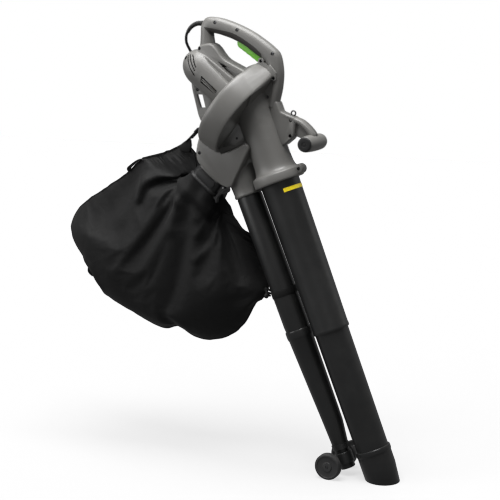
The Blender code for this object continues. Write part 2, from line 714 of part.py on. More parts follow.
def make_housings(fan, tube, blow, outlet, looks):
    """The left and right housings, the soft insert of the grip."""
    grip = add("grip_insert", swept(HANDLE_PAIRS, GRIP_HALF_WIDTH))
    insert = keep(grip, insert_zone())
    insert = cut(insert, trigger_well())
    insert.data.materials.append(looks["soft"])

    shell = housing_outer(fan, tube, blow, outlet)
    shell = cut(shell, *housing_cavities(fan, tube, blow, outlet))
    shell = cut(shell, insert_zone(FIT), trigger_well(),
                add("relief_hole", tube_along([RELIEF_ANCHOR, RELIEF_ROUTE[1]], [RELIEF_RADIUS + FIT] * 2)))
    for name, side in (("left_housing", 1.0), ("right_housing", -1.0)):
        half = keep(twin(shell, name), half_space(side))
        bosses = [screw_boss(place, reach, side) for place, depth, reach in HOUSING_SCREWS.values()]
        low, high = sorted((side * (TRIGGER_HALF_WIDTH + 2.0 * FIT), side * (GRIP_HALF_WIDTH - 0.0015)))
        half = union(half, *bosses, pin_solid(TRIGGER_PIVOT, PIVOT_BOSS_RADIUS, low, high, 16))
        holes = [hole for place, depth, reach in HOUSING_SCREWS.values()
                 for hole in screw_cuts(place, depth, side)]
        holes += screw_cuts((EAR_X, EAR_Z), EAR_SCREW_DEPTH, side, tube)
        holes.append(pin_solid(TRIGGER_PIVOT, TRIGGER_PIN_RADIUS + FIT, -TRIGGER_PIN_HALF_LENGTH - FIT,
                               TRIGGER_PIN_HALF_LENGTH + FIT, 16))
        holes.append(pin_solid(LATCH_PIVOT, LATCH_PIN_RADIUS + FIT, LATCH_Y - CUT_REACH, LATCH_Y + CUT_REACH, 16, outlet))
        holes.append(pin_solid(FLAP_PIVOT, FLAP_SHAFT_RADIUS + FIT, -DUCT_HALF_WIDTH + WALL + 0.0002,
                               DUCT_HALF_WIDTH + CUT_REACH, 20))
        half = cut(half, *holes)
        half.data.materials.append(looks["grey"])
        shade(half)
    bpy.data.objects.remove(shell, do_unlink=True)
    shade(insert)


def make_trigger(looks):
    """The trigger turns up into the grip about a pin near the front of the hand gap."""
    pivot = empty("trigger_frame", *TRIGGER_PIVOT)
    local = [(x - TRIGGER_PIVOT[0], z - TRIGGER_PIVOT[1]) for x, z in TRIGGER_OUTLINE]
    lever = add("trigger", rounded_prism(local, TRIGGER_HALF_WIDTH, 0.0015, 2), looks["green"], pivot)
    shade(cut(lever, pin_solid((0.0, 0.0), TRIGGER_PIN_RADIUS + FIT, -CUT_REACH, CUT_REACH, 20, pivot)))
    pin = pin_solid(TRIGGER_PIVOT, TRIGGER_PIN_RADIUS, -TRIGGER_PIN_HALF_LENGTH, TRIGGER_PIN_HALF_LENGTH, 20)
    pin.name = "trigger_pin"
    pin.data.materials.append(looks["steel"])
    shade(pin)


def make_switch(looks):
    """The switch sits under the top wall of the grip, above the rear of the trigger."""
    line = [p for p in through([pair[0] for pair in HANDLE_PAIRS], 4) if 0.017 < p.x < 0.045]
    under = [p + Vector((-0.42, -0.91)) * SWITCH_DROP for p in line]
    low = [p + Vector((-0.42, -0.91)) * SWITCH_DEPTH for p in reversed(under)]
    body = add("switch_body", prism(under + low, -SWITCH_HALF_WIDTH, SWITCH_HALF_WIDTH), looks["black"])
    place, depth, reach = HOUSING_SCREWS["grip_middle_screw"]
    shade(cut(body, pin_solid(place, SCREW_BOSS_RADIUS + FIT, -0.05, 0.05, 20)))


def make_motor(fan, looks):
    """Everything on and round the motor's shaft."""
    spin = empty("rotor_frame", 0.0, 0.0)
    spin.parent = fan
    rear_end = REAR_BEARING_AT + BEARING_LENGTH
    shaft = disc(SHAFT_RADIUS, SHAFT_FRONT, rear_end - FIT, 24)
    shade(add("motor_shaft", shaft, looks["steel"], spin))
    shade(add("armature_core", ring(SHAFT_RADIUS + FIT, CORE_RADIUS, CORE_AT, CORE_AT + CORE_LENGTH, 36),
              looks["copper"], spin))
    shade(add("commutator", ring(SHAFT_RADIUS + FIT, COMMUTATOR_RADIUS, COMMUTATOR_AT,
                                 COMMUTATOR_AT + COMMUTATOR_LENGTH, 24), looks["copper"], spin))
    stator_radius = MOTOR_CASE_RADIUS - WALL - FIT
    shade(add("motor_stator", ring(CORE_RADIUS + AIR_GAP, stator_radius, CORE_AT - 0.002,
                                   CORE_AT + CORE_LENGTH + 0.002, 40), looks["steel"], fan))
    for name, low in (("front_bearing", FRONT_BEARING_AT), ("rear_bearing", REAR_BEARING_AT)):
        shade(add(name, ring(SHAFT_RADIUS + FIT, BEARING_RADIUS, low, low + BEARING_LENGTH, 24),
                  looks["steel"], fan))
    low = VOLUTE_DEPTH + 2.0 * FIT
    plate = add("motor_bulkhead", turned(
        [(SHAFT_RADIUS + 0.0015, low), (stator_radius, low), (stator_radius, low + BULKHEAD_THICKNESS),
         (BOSS_RADIUS, low + BULKHEAD_THICKNESS), (BOSS_RADIUS, FRONT_BEARING_AT + BEARING_LENGTH),
         (BEARING_RADIUS + FIT, FRONT_BEARING_AT + BEARING_LENGTH), (BEARING_RADIUS + FIT, FRONT_BEARING_AT - FIT),
         (SHAFT_RADIUS + 0.0015, FRONT_BEARING_AT - FIT)], 28, closed=True), looks["black"], fan)
    shade(plate)
    reach = dome_radius(REAR_BEARING_AT + BEARING_LENGTH + 0.003, MOTOR_CASE_RADIUS - WALL) - 0.0011
    back = REAR_BEARING_AT + BEARING_LENGTH + FIT
    shade(add("rear_bearing_bracket", turned(
        [(BEARING_RADIUS + FIT, REAR_BEARING_AT), (BOSS_RADIUS, REAR_BEARING_AT), (BOSS_RADIUS, back),
         (reach, back), (reach - 0.002, back + 0.003), (0.0, back + 0.003), (0.0, back), (BEARING_RADIUS + FIT, back)],
        24, closed=True), looks["black"], fan))
    for name, side in (("left", 1.0), ("right", -1.0)):
        inner = COMMUTATOR_RADIUS + FIT
        outer = MOTOR_CASE_RADIUS - WALL - 3.0 * FIT
        middle = COMMUTATOR_AT + COMMUTATOR_LENGTH / 2.0
        holder_inner = inner + 0.003
        reach_y = math.sqrt(outer ** 2 - (BRUSH_HOLDER_SIZE / 2.0) ** 2)
        holder = add(f"{name}_brush_holder", box((0.0, side * (holder_inner + reach_y) / 2.0, middle),
                                                 (BRUSH_HOLDER_SIZE, reach_y - holder_inner, BRUSH_HOLDER_SIZE)),
                     looks["brass"], fan)
        brush_end = outer - 0.008
        side_hole = BRUSH_SIZE + 2.0 * FIT
        cut(holder, add("hole", box((0.0, side * brush_end / 2.0, middle),
                                    (side_hole, brush_end + 2.0 * FIT, side_hole)), parent=fan))
        add(f"{name}_carbon_brush", box((0.0, side * (inner + brush_end) / 2.0, middle),
                                        (BRUSH_SIZE, brush_end - inner, BRUSH_SIZE)), looks["black"], fan)
    make_cooling_fan(spin, looks["black"])
    make_impeller(spin, looks["black"])
    nut = add("impeller_nut", disc(NUT_RADIUS, SHAFT_FRONT + 0.001, SHAFT_FRONT + 0.007, 6), looks["steel"], spin)
    cut(nut, add("thread", disc(SHAFT_RADIUS + FIT, 0.0, 0.1, 24), parent=spin))


def vane(inner, outer, low, high, thickness, sweep, turn, steps=3):
    """A curved vane between two radii, swept back by an angle."""
    sides = []
    for sign in (1.0, -1.0):
        line = []
        for step in range(steps + 1):
            share = step / steps
            radius = inner + (outer - inner) * share
            angle = turn + sweep * share ** 1.3 + sign * thickness / (2.0 * radius)
            line.append((radius * math.cos(angle), radius * math.sin(angle)))
        sides.append(line)
    outline = sides[0] + list(reversed(sides[1]))
    return stack([[(x, y, z) for x, y in outline] for z in (low, high)])


def make_cooling_fan(spin, look):
    low = COOLING_FAN_AT
    wheel = add("cooling_fan", ring(SHAFT_RADIUS + FIT, COOLING_FAN_RADIUS, low, low + 0.002, 24), look, spin)
    hub = add("hub", ring(SHAFT_RADIUS + FIT, 0.009, low + 0.001, low + COOLING_FAN_DEPTH, 12), parent=spin)
    vanes = [add("vane", vane(0.0085, COOLING_FAN_RADIUS - 0.001, low + 0.001, low + COOLING_FAN_DEPTH,
                              0.002, 0.5, 2.0 * math.pi * k / 6, 2), parent=spin) for k in range(6)]
    shade(union(wheel, hub, *vanes))


def make_impeller(spin, look):
    """The impeller draws through its eye and throws leaves out at its rim."""
    back = IMPELLER_AT + IMPELLER_DEPTH
    wheel = add("impeller", ring(SHAFT_RADIUS + FIT, IMPELLER_RADIUS, back - 0.003, back, 32), look, spin)
    hub = add("hub", turned([(SHAFT_RADIUS + FIT, back - 0.002), (SHAFT_RADIUS + FIT, SHAFT_FRONT + 0.0073),
                             (IMPELLER_HUB - 0.003, SHAFT_FRONT + 0.0073), (IMPELLER_HUB, SHAFT_FRONT + 0.012),
                             (IMPELLER_HUB, back - 0.002)], 16, closed=True), parent=spin)
    vanes = [add("vane", vane(IMPELLER_HUB - 0.001, IMPELLER_RADIUS - 0.001, IMPELLER_AT + 0.004, back - 0.002,
                              VANE_THICKNESS, -0.7, 2.0 * math.pi * k / IMPELLER_VANES), parent=spin)
             for k in range(IMPELLER_VANES)]
    shade(union(wheel, hub, *vanes))


def make_diverter(looks):
    """The flap between the two outlets, and the lever on the left that turns it."""
    frame = empty("diverter_frame", *FLAP_PIVOT)
    reach = DUCT_HALF_WIDTH - WALL - 2.0 * FIT
    flap = pin_solid((0.0, 0.0), FLAP_SHAFT_RADIUS, -reach, DUCT_HALF_WIDTH + 0.0085, 20, frame)
    flap.name = "diverter_flap"
    flap.data.materials.append(looks["black"])
    blade = add("blade", box((FLAP_LENGTH / 2.0, 0.0, 0.0), (FLAP_LENGTH, 2.0 * reach - 0.002, FLAP_THICKNESS)),
                parent=frame, turn=(0.0, -FLAP_REST, 0.0))
    shade(union(flap, blade))
    low = DUCT_HALF_WIDTH + 2.0 * FIT
    high = low + LEVER_THICKNESS
    lever = pin_solid((0.0, 0.0), 0.011, low, high, 20, frame)
    lever.name = "diverter_lever"
    lever.data.materials.append(looks["black"])
    arm = add("arm", prism([(0.0, -0.006), (LEVER_LENGTH, -0.004), (LEVER_LENGTH, 0.004), (0.0, 0.006)],
                           low, high), parent=frame, turn=(0.0, -LEVER_REST, 0.0))
    knob = pin_solid((LEVER_LENGTH * math.cos(LEVER_REST), LEVER_LENGTH * math.sin(LEVER_REST)), 0.007, low,
                     high + 0.004, 20, frame)
    union(lever, arm, knob)
    shade(cut(lever, pin_solid((0.0, 0.0), FLAP_SHAFT_RADIUS + FIT, -0.1, 0.1, 20, frame)))


def tube_radius(depth):
    """Outer radius of the vacuum tube at a depth below the flange."""
    if depth < TUBE_JOINT_AT:
        return TUBE_TOP_RADIUS + (TUBE_JOINT_RADIUS - TUBE_TOP_RADIUS) * max(0.0, depth) / TUBE_JOINT_AT
    share = (depth - TUBE_JOINT_AT) / (MOUTH_RING_AT - TUBE_JOINT_AT)
    return LOWER_TOP_RADIUS + (LOWER_END_RADIUS - LOWER_TOP_RADIUS) * share


def make_vacuum_tube(tube, looks):
    """Two tapered tubes, one in the other, and the foot that rests on the ground."""
    top = TUBE_INSERTION - FIT
    lip = TUBE_JOINT_RADIUS + 0.0008
    inner = TUBE_JOINT_RADIUS - WALL
    shade(add("upper_vacuum_tube", turned(
        [(TUBE_TOP_RADIUS - WALL, top), (TUBE_TOP_RADIUS, top), (TUBE_TOP_RADIUS, 0.0),
         (TUBE_JOINT_RADIUS, -TUBE_JOINT_AT + 0.008), (lip, -TUBE_JOINT_AT + 0.006), (lip, -TUBE_JOINT_AT),
         (inner, -TUBE_JOINT_AT), (inner, -TUBE_JOINT_AT + TUBE_OVERLAP + 0.002)], TUBE_STEPS, closed=True),
        looks["tube"], tube))
    spigot = inner - FIT
    end = MOUTH_RING_AT + MOUTH_SEAT
    end_radius = tube_radius(end)
    shade(add("lower_vacuum_tube", turned(
        [(spigot - WALL, -TUBE_JOINT_AT + TUBE_OVERLAP), (spigot, -TUBE_JOINT_AT + TUBE_OVERLAP),
         (spigot, -TUBE_JOINT_AT - 0.002), (LOWER_TOP_RADIUS, -TUBE_JOINT_AT - 0.004), (end_radius, -end),
         (end_radius - WALL, -end)], TUBE_STEPS, closed=True), looks["tube"], tube))
    seat = end_radius - WALL
    near = tube_radius(MOUTH_RING_AT) + FIT
    over = 0.035
    foot = add("mouth_collar", turned(
        [(near, -MOUTH_RING_AT), (MOUTH_RING_RADIUS, -MOUTH_RING_AT - 0.0015),
         (MOUTH_RING_RADIUS, -MOUTH_RING_AT - 0.010), (MOUTH_RADIUS - 0.001, -MOUTH_RING_AT - 0.012),
         (MOUTH_RADIUS, -MOUTH_AT - over), (MOUTH_RADIUS - WALL - 0.001, -MOUTH_AT - over),
         (seat, -end - 2.0 * FIT), (end_radius + FIT, -end - FIT)], TUBE_STEPS, closed=True), looks["tube"], tube)
    ground = add("ground", box((0.0, 0.0, -0.25), (0.5, 0.5, 0.5)), parent=tube, location=(0.0, 0.0, -MOUTH_AT),
                 turn=(0.0, -LEAN, 0.0))
    shade(cut(foot, ground))
    make_band(tube, looks["yellow"])


def make_band(tube, look):
    """The bright strip stuck round the front of the upper tube."""
    steps = 12
    rings = []
    for step in range(steps + 1):
        angle = BAND_HALF_ANGLE * (2.0 * step / steps - 1.0)
        section = []
        for out, depth in ((FIT, BAND_AT), (FIT + BAND_THICKNESS, BAND_AT),
                           (FIT + BAND_THICKNESS, BAND_AT + BAND_HEIGHT), (FIT, BAND_AT + BAND_HEIGHT)):
            radius = tube_radius(depth) + out
            section.append((radius * math.cos(angle), radius * math.sin(angle), -depth))
        rings.append(section)
    shade(add("warning_band", stack(rings), look, tube))


def nozzle_radius(depth):
    """Outer radius of the blow nozzle at a depth below the socket."""
    share = (depth - BLOW_JOINT_AT) / (NOZZLE_TAPER_END - BLOW_JOINT_AT)
    return BLOW_RADIUS + (NOZZLE_RADIUS - BLOW_RADIUS) * min(1.0, max(0.0, share))


def make_blow_tube(blow, tube, looks):
    """The straight blow tube, its tapered nozzle, and the clip that ties the nozzle to the vacuum tube."""
    top = SOCKET_DEPTH - FIT
    shade(add("blow_tube", ring(BLOW_RADIUS - WALL, BLOW_RADIUS, -BLOW_JOINT_AT - NOZZLE_COLLAR + 0.002, top, 28),
              looks["tube"], blow))
    outer = BLOW_RADIUS + FIT + 0.002
    start = BLOW_JOINT_AT
    shade(add("blow_nozzle", turned(
        [(BLOW_RADIUS + FIT, -start), (outer, -start), (outer, -start - NOZZLE_COLLAR),
         (BLOW_RADIUS - 0.001, -start - NOZZLE_COLLAR - 0.003), (NOZZLE_RADIUS, -NOZZLE_TAPER_END),
         (NOZZLE_RADIUS, -NOZZLE_END), (NOZZLE_RADIUS - WALL, -NOZZLE_END),
         (NOZZLE_RADIUS - WALL, -NOZZLE_TAPER_END), (BLOW_RADIUS - WALL - 0.001, -start - NOZZLE_COLLAR - 0.003),
         (BLOW_RADIUS - WALL, -start - NOZZLE_COLLAR), (BLOW_RADIUS + FIT, -start - NOZZLE_COLLAR)], 24,
        closed=True), looks["tube"], blow))
    low = -CLIP_AT - CLIP_HEIGHT
    clip = add("tube_clip", disc(NOZZLE_RADIUS + FIT + CLIP_WALL, low, -CLIP_AT, 28), looks["tube"], blow)
    arm = add("arm", box((0.030, 0.0, low + CLIP_HEIGHT / 2.0), (0.050, 0.011, CLIP_HEIGHT - 0.002)), parent=blow)
    union(clip, arm)
    shade(cut(clip, add("bore", disc(NOZZLE_RADIUS + FIT, low - 0.01, -CLIP_AT + 0.01, 32), parent=blow),
              add("tube_side", turned([(0.0, 0.0), (0.0475, 0.0), (0.0475, -0.3),
                                       (tube_radius(CLIP_AT - 0.03) + FIT, -CLIP_AT + 0.03),
                                       (tube_radius(CLIP_AT + 0.03) + FIT, -CLIP_AT - 0.03),
                                       (0.0, -CLIP_AT - 0.03)], 36), parent=tube)))


def make_wheels(blow, looks):
    """The bracket that clamps on the nozzle, its axle, and two plain wheels."""
    low = -BRACKET_AT - BRACKET_HEIGHT
    middle = -AXLE_AT
    bracket = add("wheel_bracket", disc(NOZZLE_RADIUS + FIT + CLIP_WALL, low, -BRACKET_AT, 28), looks["tube"], blow)
    half = TRACK / 2.0 - WHEEL_WIDTH / 2.0 - 2.0 * FIT
    barrel = pin_solid((-AXLE_BACK, middle), HUB_RADIUS - 0.001, -half, half, 24, blow)
    web = add("web", box((-AXLE_BACK / 2.0, 0.0, middle), (AXLE_BACK, 0.024, BRACKET_HEIGHT - 0.006)), parent=blow)
    union(bracket, barrel, web)
    shade(cut(bracket, add("bore", disc(NOZZLE_RADIUS + FIT, low - 0.01, -BRACKET_AT + 0.01, 32), parent=blow),
              pin_solid((-AXLE_BACK, middle), AXLE_RADIUS + FIT, -0.08, 0.08, 20, blow)))
    outside = TRACK / 2.0 + WHEEL_WIDTH / 2.0
    axle = pin_solid((-AXLE_BACK, middle), AXLE_RADIUS, -outside + 0.001, outside - 0.001, 20, blow)
    axle.name = "axle"
    axle.data.materials.append(looks["steel"])
    shade(axle)
    for name, side in (("left_wheel", 1.0), ("right_wheel", -1.0)):
        frame = empty(f"{name}_frame", -AXLE_BACK, middle, 0.0, side * TRACK / 2.0)
        frame.parent = blow
        width = WHEEL_WIDTH / 2.0
        profile = [(AXLE_RADIUS + FIT, -width), (WHEEL_RADIUS - 0.002, -width), (WHEEL_RADIUS, -width + 0.002),
                   (WHEEL_RADIUS, width - 0.002), (WHEEL_RADIUS - 0.002, width), (AXLE_RADIUS + FIT, width)]
        shade(add(name, turned(profile, 32, closed=True), looks["tube"], frame,
                  turn=(math.radians(90.0), 0.0, 0.0)))


def make_front_handle(looks):
    """The small T-handle that steadies the tube, with the eye of the shoulder strap over it."""
    arm = add("front_handle_arm", swept(ARM_PAIRS, ARM_HALF_WIDTH), looks["grey"])
    seat = prism([(p[0] + FIT if k in (2, 3) else p[0], p[1]) for k, p in enumerate(ARM_BASE)], -0.03, 0.03)
    arm = cut(arm, add("seat", seat))
    grip_hole = pin_solid(FRONT_GRIP, FRONT_GRIP_RADIUS + FIT, -0.05, 0.05, 28)
    shade(cut(arm, grip_hole))
    half = FRONT_GRIP_LENGTH / 2.0
    profile = [(0.0, -half), (FRONT_GRIP_END_RADIUS, -half), (FRONT_GRIP_RADIUS - 0.001, -half + 0.030),
               (FRONT_GRIP_RADIUS, -0.012), (FRONT_GRIP_RADIUS, 0.012), (FRONT_GRIP_RADIUS - 0.001, half - 0.016),
               (FRONT_GRIP_RADIUS - 0.003, half - 0.006), (FRONT_GRIP_RADIUS - 0.008, half - 0.001), (0.0, half)]
    grip = add("front_grip", turned(profile, 28), looks["grey"], None, (FRONT_GRIP[0], 0.0, FRONT_GRIP[1]),
               (math.radians(-90.0), 0.0, 0.0))
    shade(grip)
    cap = add("front_grip_cap", turned([(0.0, 0.0), (FRONT_GRIP_END_RADIUS - 0.002, 0.0),
                                        (FRONT_GRIP_END_RADIUS - 0.0005, 0.0015),
                                        (FRONT_GRIP_END_RADIUS - 0.0005, CAP_THICKNESS), (0.0, CAP_THICKNESS)], 24),
              looks["black"], None, (FRONT_GRIP[0], -half - CAP_THICKNESS - FIT, FRONT_GRIP[1]),
              (math.radians(-90.0), 0.0, 0.0))
    shade(cap)
    eye = add("strap_eye", turned([(EYE_RADIUS - 2.0 * EYE_WIRE, -EYE_WIRE), (EYE_RADIUS, -EYE_WIRE),
                                   (EYE_RADIUS, EYE_WIRE), (EYE_RADIUS - 2.0 * EYE_WIRE, EYE_WIRE)], 20,
                                  closed=True), looks["steel"], None, (EYE_CENTRE[0], 0.0, EYE_CENTRE[1]),
              (math.radians(90.0), 0.0, 0.0))
    (low_x, low_z), (high_x, high_z) = ARM_BASE[1:3]
    feet = [(x, low_z + (high_z - low_z) * (x - low_x) / (high_x - low_x) + FIT)
            for x in (EYE_CENTRE[0] - EYE_WIRE, EYE_CENTRE[0] + EYE_WIRE)]
    under_ring = EYE_CENTRE[1] - EYE_RADIUS + EYE_WIRE
    stem = add("stem", prism([*feet, (feet[1][0], under_ring), (feet[0][0], under_ring)], -EYE_WIRE, EYE_WIRE))
    shade(union(eye, stem))


def make_bag_collar(outlet, looks):
    """The hard frame of the bag, pushed over the outlet, and its latch."""
    low = 0.0035
    lip = COLLAR_REACH - COLLAR_LIP
    half_x, half_y, corner = SPIGOT_HALF_X + FIT, SPIGOT_HALF_Y + FIT, SPIGOT_CORNER + FIT
    collar = collar_solid(outlet, half_x + WALL, half_y + WALL, corner + WALL, low, COLLAR_REACH, "bag_collar")
    collar.data.materials.append(looks["black"])
    rim = collar_solid(outlet, half_x + WALL + 0.004, half_y + WALL + 0.004, corner + WALL + 0.004, lip, COLLAR_REACH,
                       "rim")
    union(collar, rim)
    shade(cut(collar, collar_solid(outlet, half_x, half_y, corner, low - 0.01, SPIGOT_REACH + 0.002, "seat"),
              collar_solid(outlet, half_x - WALL, half_y - WALL, corner - WALL, low, COLLAR_REACH + 0.01, "hole")))


def make_latch(outlet, looks):
    """The sprung latch that hooks over the collar's rim, on a pin between two ears of the right housing."""
    frame = empty("latch_frame", *LATCH_PIVOT, 0.0, LATCH_Y)
    frame.parent = outlet
    local = [(x - LATCH_PIVOT[0], z - LATCH_PIVOT[1]) for x, z in LATCH_OUTLINE]
    latch = add("bag_latch", prism(local, -LATCH_HALF_WIDTH, LATCH_HALF_WIDTH), looks["black"], frame)
    shade(cut(latch, pin_solid((0.0, 0.0), LATCH_PIN_RADIUS + FIT, -0.02, 0.02, 16, frame)))
    reach = LATCH_HALF_WIDTH + LATCH_EAR_WIDTH
    pin = pin_solid(LATCH_PIVOT, LATCH_PIN_RADIUS, LATCH_Y - reach, LATCH_Y + reach, 16, outlet)
    pin.name = "latch_pin"
    pin.data.materials.append(looks["steel"])
    shade(pin)


def make_strap(looks):
    """The strap from the rear bracket to the bag's top corner."""
    shade(add("bag_strap", prism(STRAP_OUTLINE, -STRAP_HALF_WIDTH, STRAP_HALF_WIDTH), looks["fabric"]))


def make_tie(blow, looks):
    """The loop that holds the bag's front edge to the blow tube."""
    low = -TIE_AT - TIE_HEIGHT
    loop = add("bag_tie", disc(BLOW_RADIUS + FIT + TIE_WALL, low, -TIE_AT, 28), looks["black"], blow)
    tab = add("tab", box((-TIE_REACH / 2.0, 0.0, low + TIE_HEIGHT / 2.0), (TIE_REACH, 0.004, TIE_HEIGHT - 0.002)),
              parent=blow)
    union(loop, tab)
    shade(cut(loop, add("bore", disc(BLOW_RADIUS + FIT, low - 0.01, -TIE_AT + 0.01, 28), parent=blow)))


def make_bag(blow, outlet, looks):
    """The full bag as one soft closed solid: two sewn panels swelling between their seams."""
    outline = through_closed(BAG_OUTLINE, 1)
    centre = Vector(BAG_CENTRE)
    shares = (1.0, 0.96, 0.86, 0.70, 0.46, 0.20)
    rings = []
    for side in (-1.0, 1.0):
        order = reversed(shares) if side < 0.0 else shares
        for share in order:
            swell = BAG_HALF_DEPTH * math.sqrt(max(0.0, 1.0 - share ** 2.6)) + 0.003
            rings.append([(centre.x + (p.x - centre.x) * share, side * swell, centre.y + (p.y - centre.y) * share)
                          for p in outline])
    bag = add("bag", stack(rings), looks["fabric"])
    neck = collar_solid(outlet, SPIGOT_HALF_X - 0.002, SPIGOT_HALF_Y - 0.002, SPIGOT_CORNER, COLLAR_REACH + FIT,
                        COLLAR_REACH + 0.09, "neck")
    union(bag, neck)
    room = collar_solid(outlet, SPIGOT_HALF_X + 0.012, SPIGOT_HALF_Y + 0.012, SPIGOT_CORNER + 0.008,
                        -0.05, COLLAR_REACH + FIT, "room")
    latch_room = add("latch_room", box((-0.060, LATCH_Y, 0.030), (0.046, 0.020, 0.034)), parent=outlet)
    tie_room = box((-TIE_REACH / 2.0, 0.0, -TIE_AT - TIE_HEIGHT / 2.0), (TIE_REACH + 2.0 * FIT, 0.0046, TIE_HEIGHT))
    shade(cut(bag, room, latch_room, add("tie_room", tie_room, parent=blow)))


def make_cord(looks):
    """The moulded strain relief, the short lead and its plug, which hangs behind the motor."""
    route = [RELIEF_ANCHOR, *through(RELIEF_ROUTE, 2)]
    count = len(route) - 1
    radii = [RELIEF_RADIUS + (RELIEF_TIP_RADIUS - RELIEF_RADIUS) * (k / count) ** 1.5 for k in range(count + 1)]
    shade(add("strain_relief", tube_along(route, radii, 12), looks["rubber"]))
    out = (Vector(RELIEF_ROUTE[-1]) - Vector(RELIEF_ROUTE[-2])).normalized()
    start = Vector(RELIEF_ROUTE[-1])
    points = through([start + out * 4.0 * FIT, start + out * 0.004, *CORD_ROUTE], 2)
    curve = bpy.data.curves.new("cord", "CURVE")
    curve.dimensions = "3D"
    curve.bevel_depth = CORD_RADIUS
    curve.bevel_resolution = 2
    curve.use_fill_caps = True
    line = curve.splines.new("POLY")
    line.points.add(len(points) - 1)
    for slot, point in zip(line.points, points):
        slot.co = (*point, 1.0)
    cord = bpy.data.objects.new("supply_cord", curve)
    bpy.context.scene.collection.objects.link(cord)
    curve.materials.append(looks["rubber"])
    end = Vector(CORD_ROUTE[-1])
    ahead = (end - Vector(CORD_ROUTE[-2])).normalized()
    start = end + ahead * FIT
    profile = ((0.0, 0.6), (0.010, 0.75), (0.014, 1.0), (0.040, 1.0), (PLUG_LENGTH, 0.85))
    plug = add("plug", tube_along([start + ahead * at for at, share in profile],
                                  [PLUG_RADIUS * share for at, share in profile], 20), looks["rubber"])
    face = start + ahead * PLUG_LENGTH
    pins = []
    for side in (-1.0, 1.0):
        root = face + Vector((0.0, side * 0.0065, 0.0))
        pins.append(add("contact", tube_along([root - ahead * 0.003, root + ahead * 0.014], [0.002, 0.002], 10)))
    shade(union(plug, *pins))


def make_screws(tube, looks):
    for name, (place, depth, reach) in HOUSING_SCREWS.items():
        make_screw(name, place, depth, looks["steel"])
    make_screw("flange_screw", (EAR_X, EAR_Z), EAR_SCREW_DEPTH, looks["steel"], tube)


def main():
    clear_scene()
    looks = {
        "grey": finish("housing_plastic", (0.16, 0.155, 0.15), 0.42),
        "soft": finish("grip_rubber", (0.05, 0.05, 0.052), 0.7),
        "black": finish("black_plastic", (0.015, 0.015, 0.016), 0.5),
        "tube": finish("tube_plastic", (0.02, 0.02, 0.021), 0.38),
        "green": finish("green_plastic", (0.06, 0.42, 0.03), 0.4),
        "yellow": finish("yellow_strip", (0.85, 0.60, 0.02), 0.4),
        "steel": finish("steel", (0.55, 0.55, 0.56), 0.35, 1.0),
        "brass": finish("brass", (0.70, 0.50, 0.22), 0.35, 1.0),
        "copper": finish("copper", (0.72, 0.35, 0.18), 0.4, 1.0),
        "fabric": finish("bag_fabric", (0.02, 0.02, 0.02), 0.9),
        "rubber": finish("cord_rubber", (0.02, 0.02, 0.02), 0.6),
    }
    fan = empty("fan_frame", MOTOR_X, MOTOR_Z, FAN_TILT)
    tube = empty("tube_frame", *TUBE_TOP, LEAN)
    blow = empty("blower_frame", *BLOW_TOP, BLOW_LEAN)
    outlet = empty("outlet_frame", *OUTLET_CENTRE, OUTLET_TILT)
    make_housings(fan, tube, blow, outlet, looks)
    make_trigger(looks)
    make_switch(looks)
    make_motor(fan, looks)
    make_diverter(looks)
    make_vacuum_tube(tube, looks)
    make_blow_tube(blow, tube, looks)
    make_wheels(blow, looks)
    make_front_handle(looks)
    make_bag_collar(outlet, looks)
    make_latch(outlet, looks)
    make_strap(looks)
    make_tie(blow, looks)
    make_bag(blow, outlet, looks)
    make_cord(looks)
    make_screws(tube, looks)
    bpy.context.view_layer.update()


main()
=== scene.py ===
# %% [markdown]
# # A leaf blower vacuum, dressed for its picture
# The tool hangs from its main grip, leans back a little, and rests its suction mouth on the ground.
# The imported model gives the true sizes. This lesson models the moulded skins, the tubes, the cloth bag
# and their finishes on top of it, one piece at a time.

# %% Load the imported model
import math

import bpy
from mathutils import Matrix, Vector
from mathutils.geometry import delaunay_2d_cdt


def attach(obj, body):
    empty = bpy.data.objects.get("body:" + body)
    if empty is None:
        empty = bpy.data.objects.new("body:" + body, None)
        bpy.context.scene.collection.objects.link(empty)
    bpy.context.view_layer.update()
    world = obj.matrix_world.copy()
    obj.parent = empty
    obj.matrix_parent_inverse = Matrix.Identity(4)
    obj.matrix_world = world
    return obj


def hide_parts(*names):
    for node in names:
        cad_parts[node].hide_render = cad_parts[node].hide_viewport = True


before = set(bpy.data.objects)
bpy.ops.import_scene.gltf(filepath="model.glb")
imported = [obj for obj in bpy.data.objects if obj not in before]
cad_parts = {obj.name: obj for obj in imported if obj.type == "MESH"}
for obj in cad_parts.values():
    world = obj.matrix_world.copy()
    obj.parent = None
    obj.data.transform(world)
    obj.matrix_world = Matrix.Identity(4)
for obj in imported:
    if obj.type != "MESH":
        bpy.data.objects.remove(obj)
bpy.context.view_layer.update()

# %% [markdown]
# Four directions rule the tool: the fan's axis, the vacuum tube, the blow tube and the bag outlet. Each
# is a frame with its own origin and lean, so that a piece can be drawn upright and then set in place.

# %% Frames of the tool
ROOT = "frame"


def leaning_frame(x, z, degrees):
    """A place in the mid-plane, turned about Y."""
    return Matrix.Translation((x, 0.0, z)) @ Matrix.Rotation(math.radians(degrees), 4, "Y")


UPRIGHT = Matrix.Identity(4)
FAN = leaning_frame(0.047, -0.183, -54.0)
TUBE = leaning_frame(0.1156, -0.3431, -21.5)
BLOWER = leaning_frame(0.037, -0.3795, -22.4)
OUTLET = leaning_frame(-0.0455, -0.329, -140.9)
GROUND = -1.02696
SEAM = 0.00025

# %% [markdown]
# The photograph was taken from the right, a little in front and a little above. A long lens keeps the
# two tubes nearly parallel, as they are in the picture.

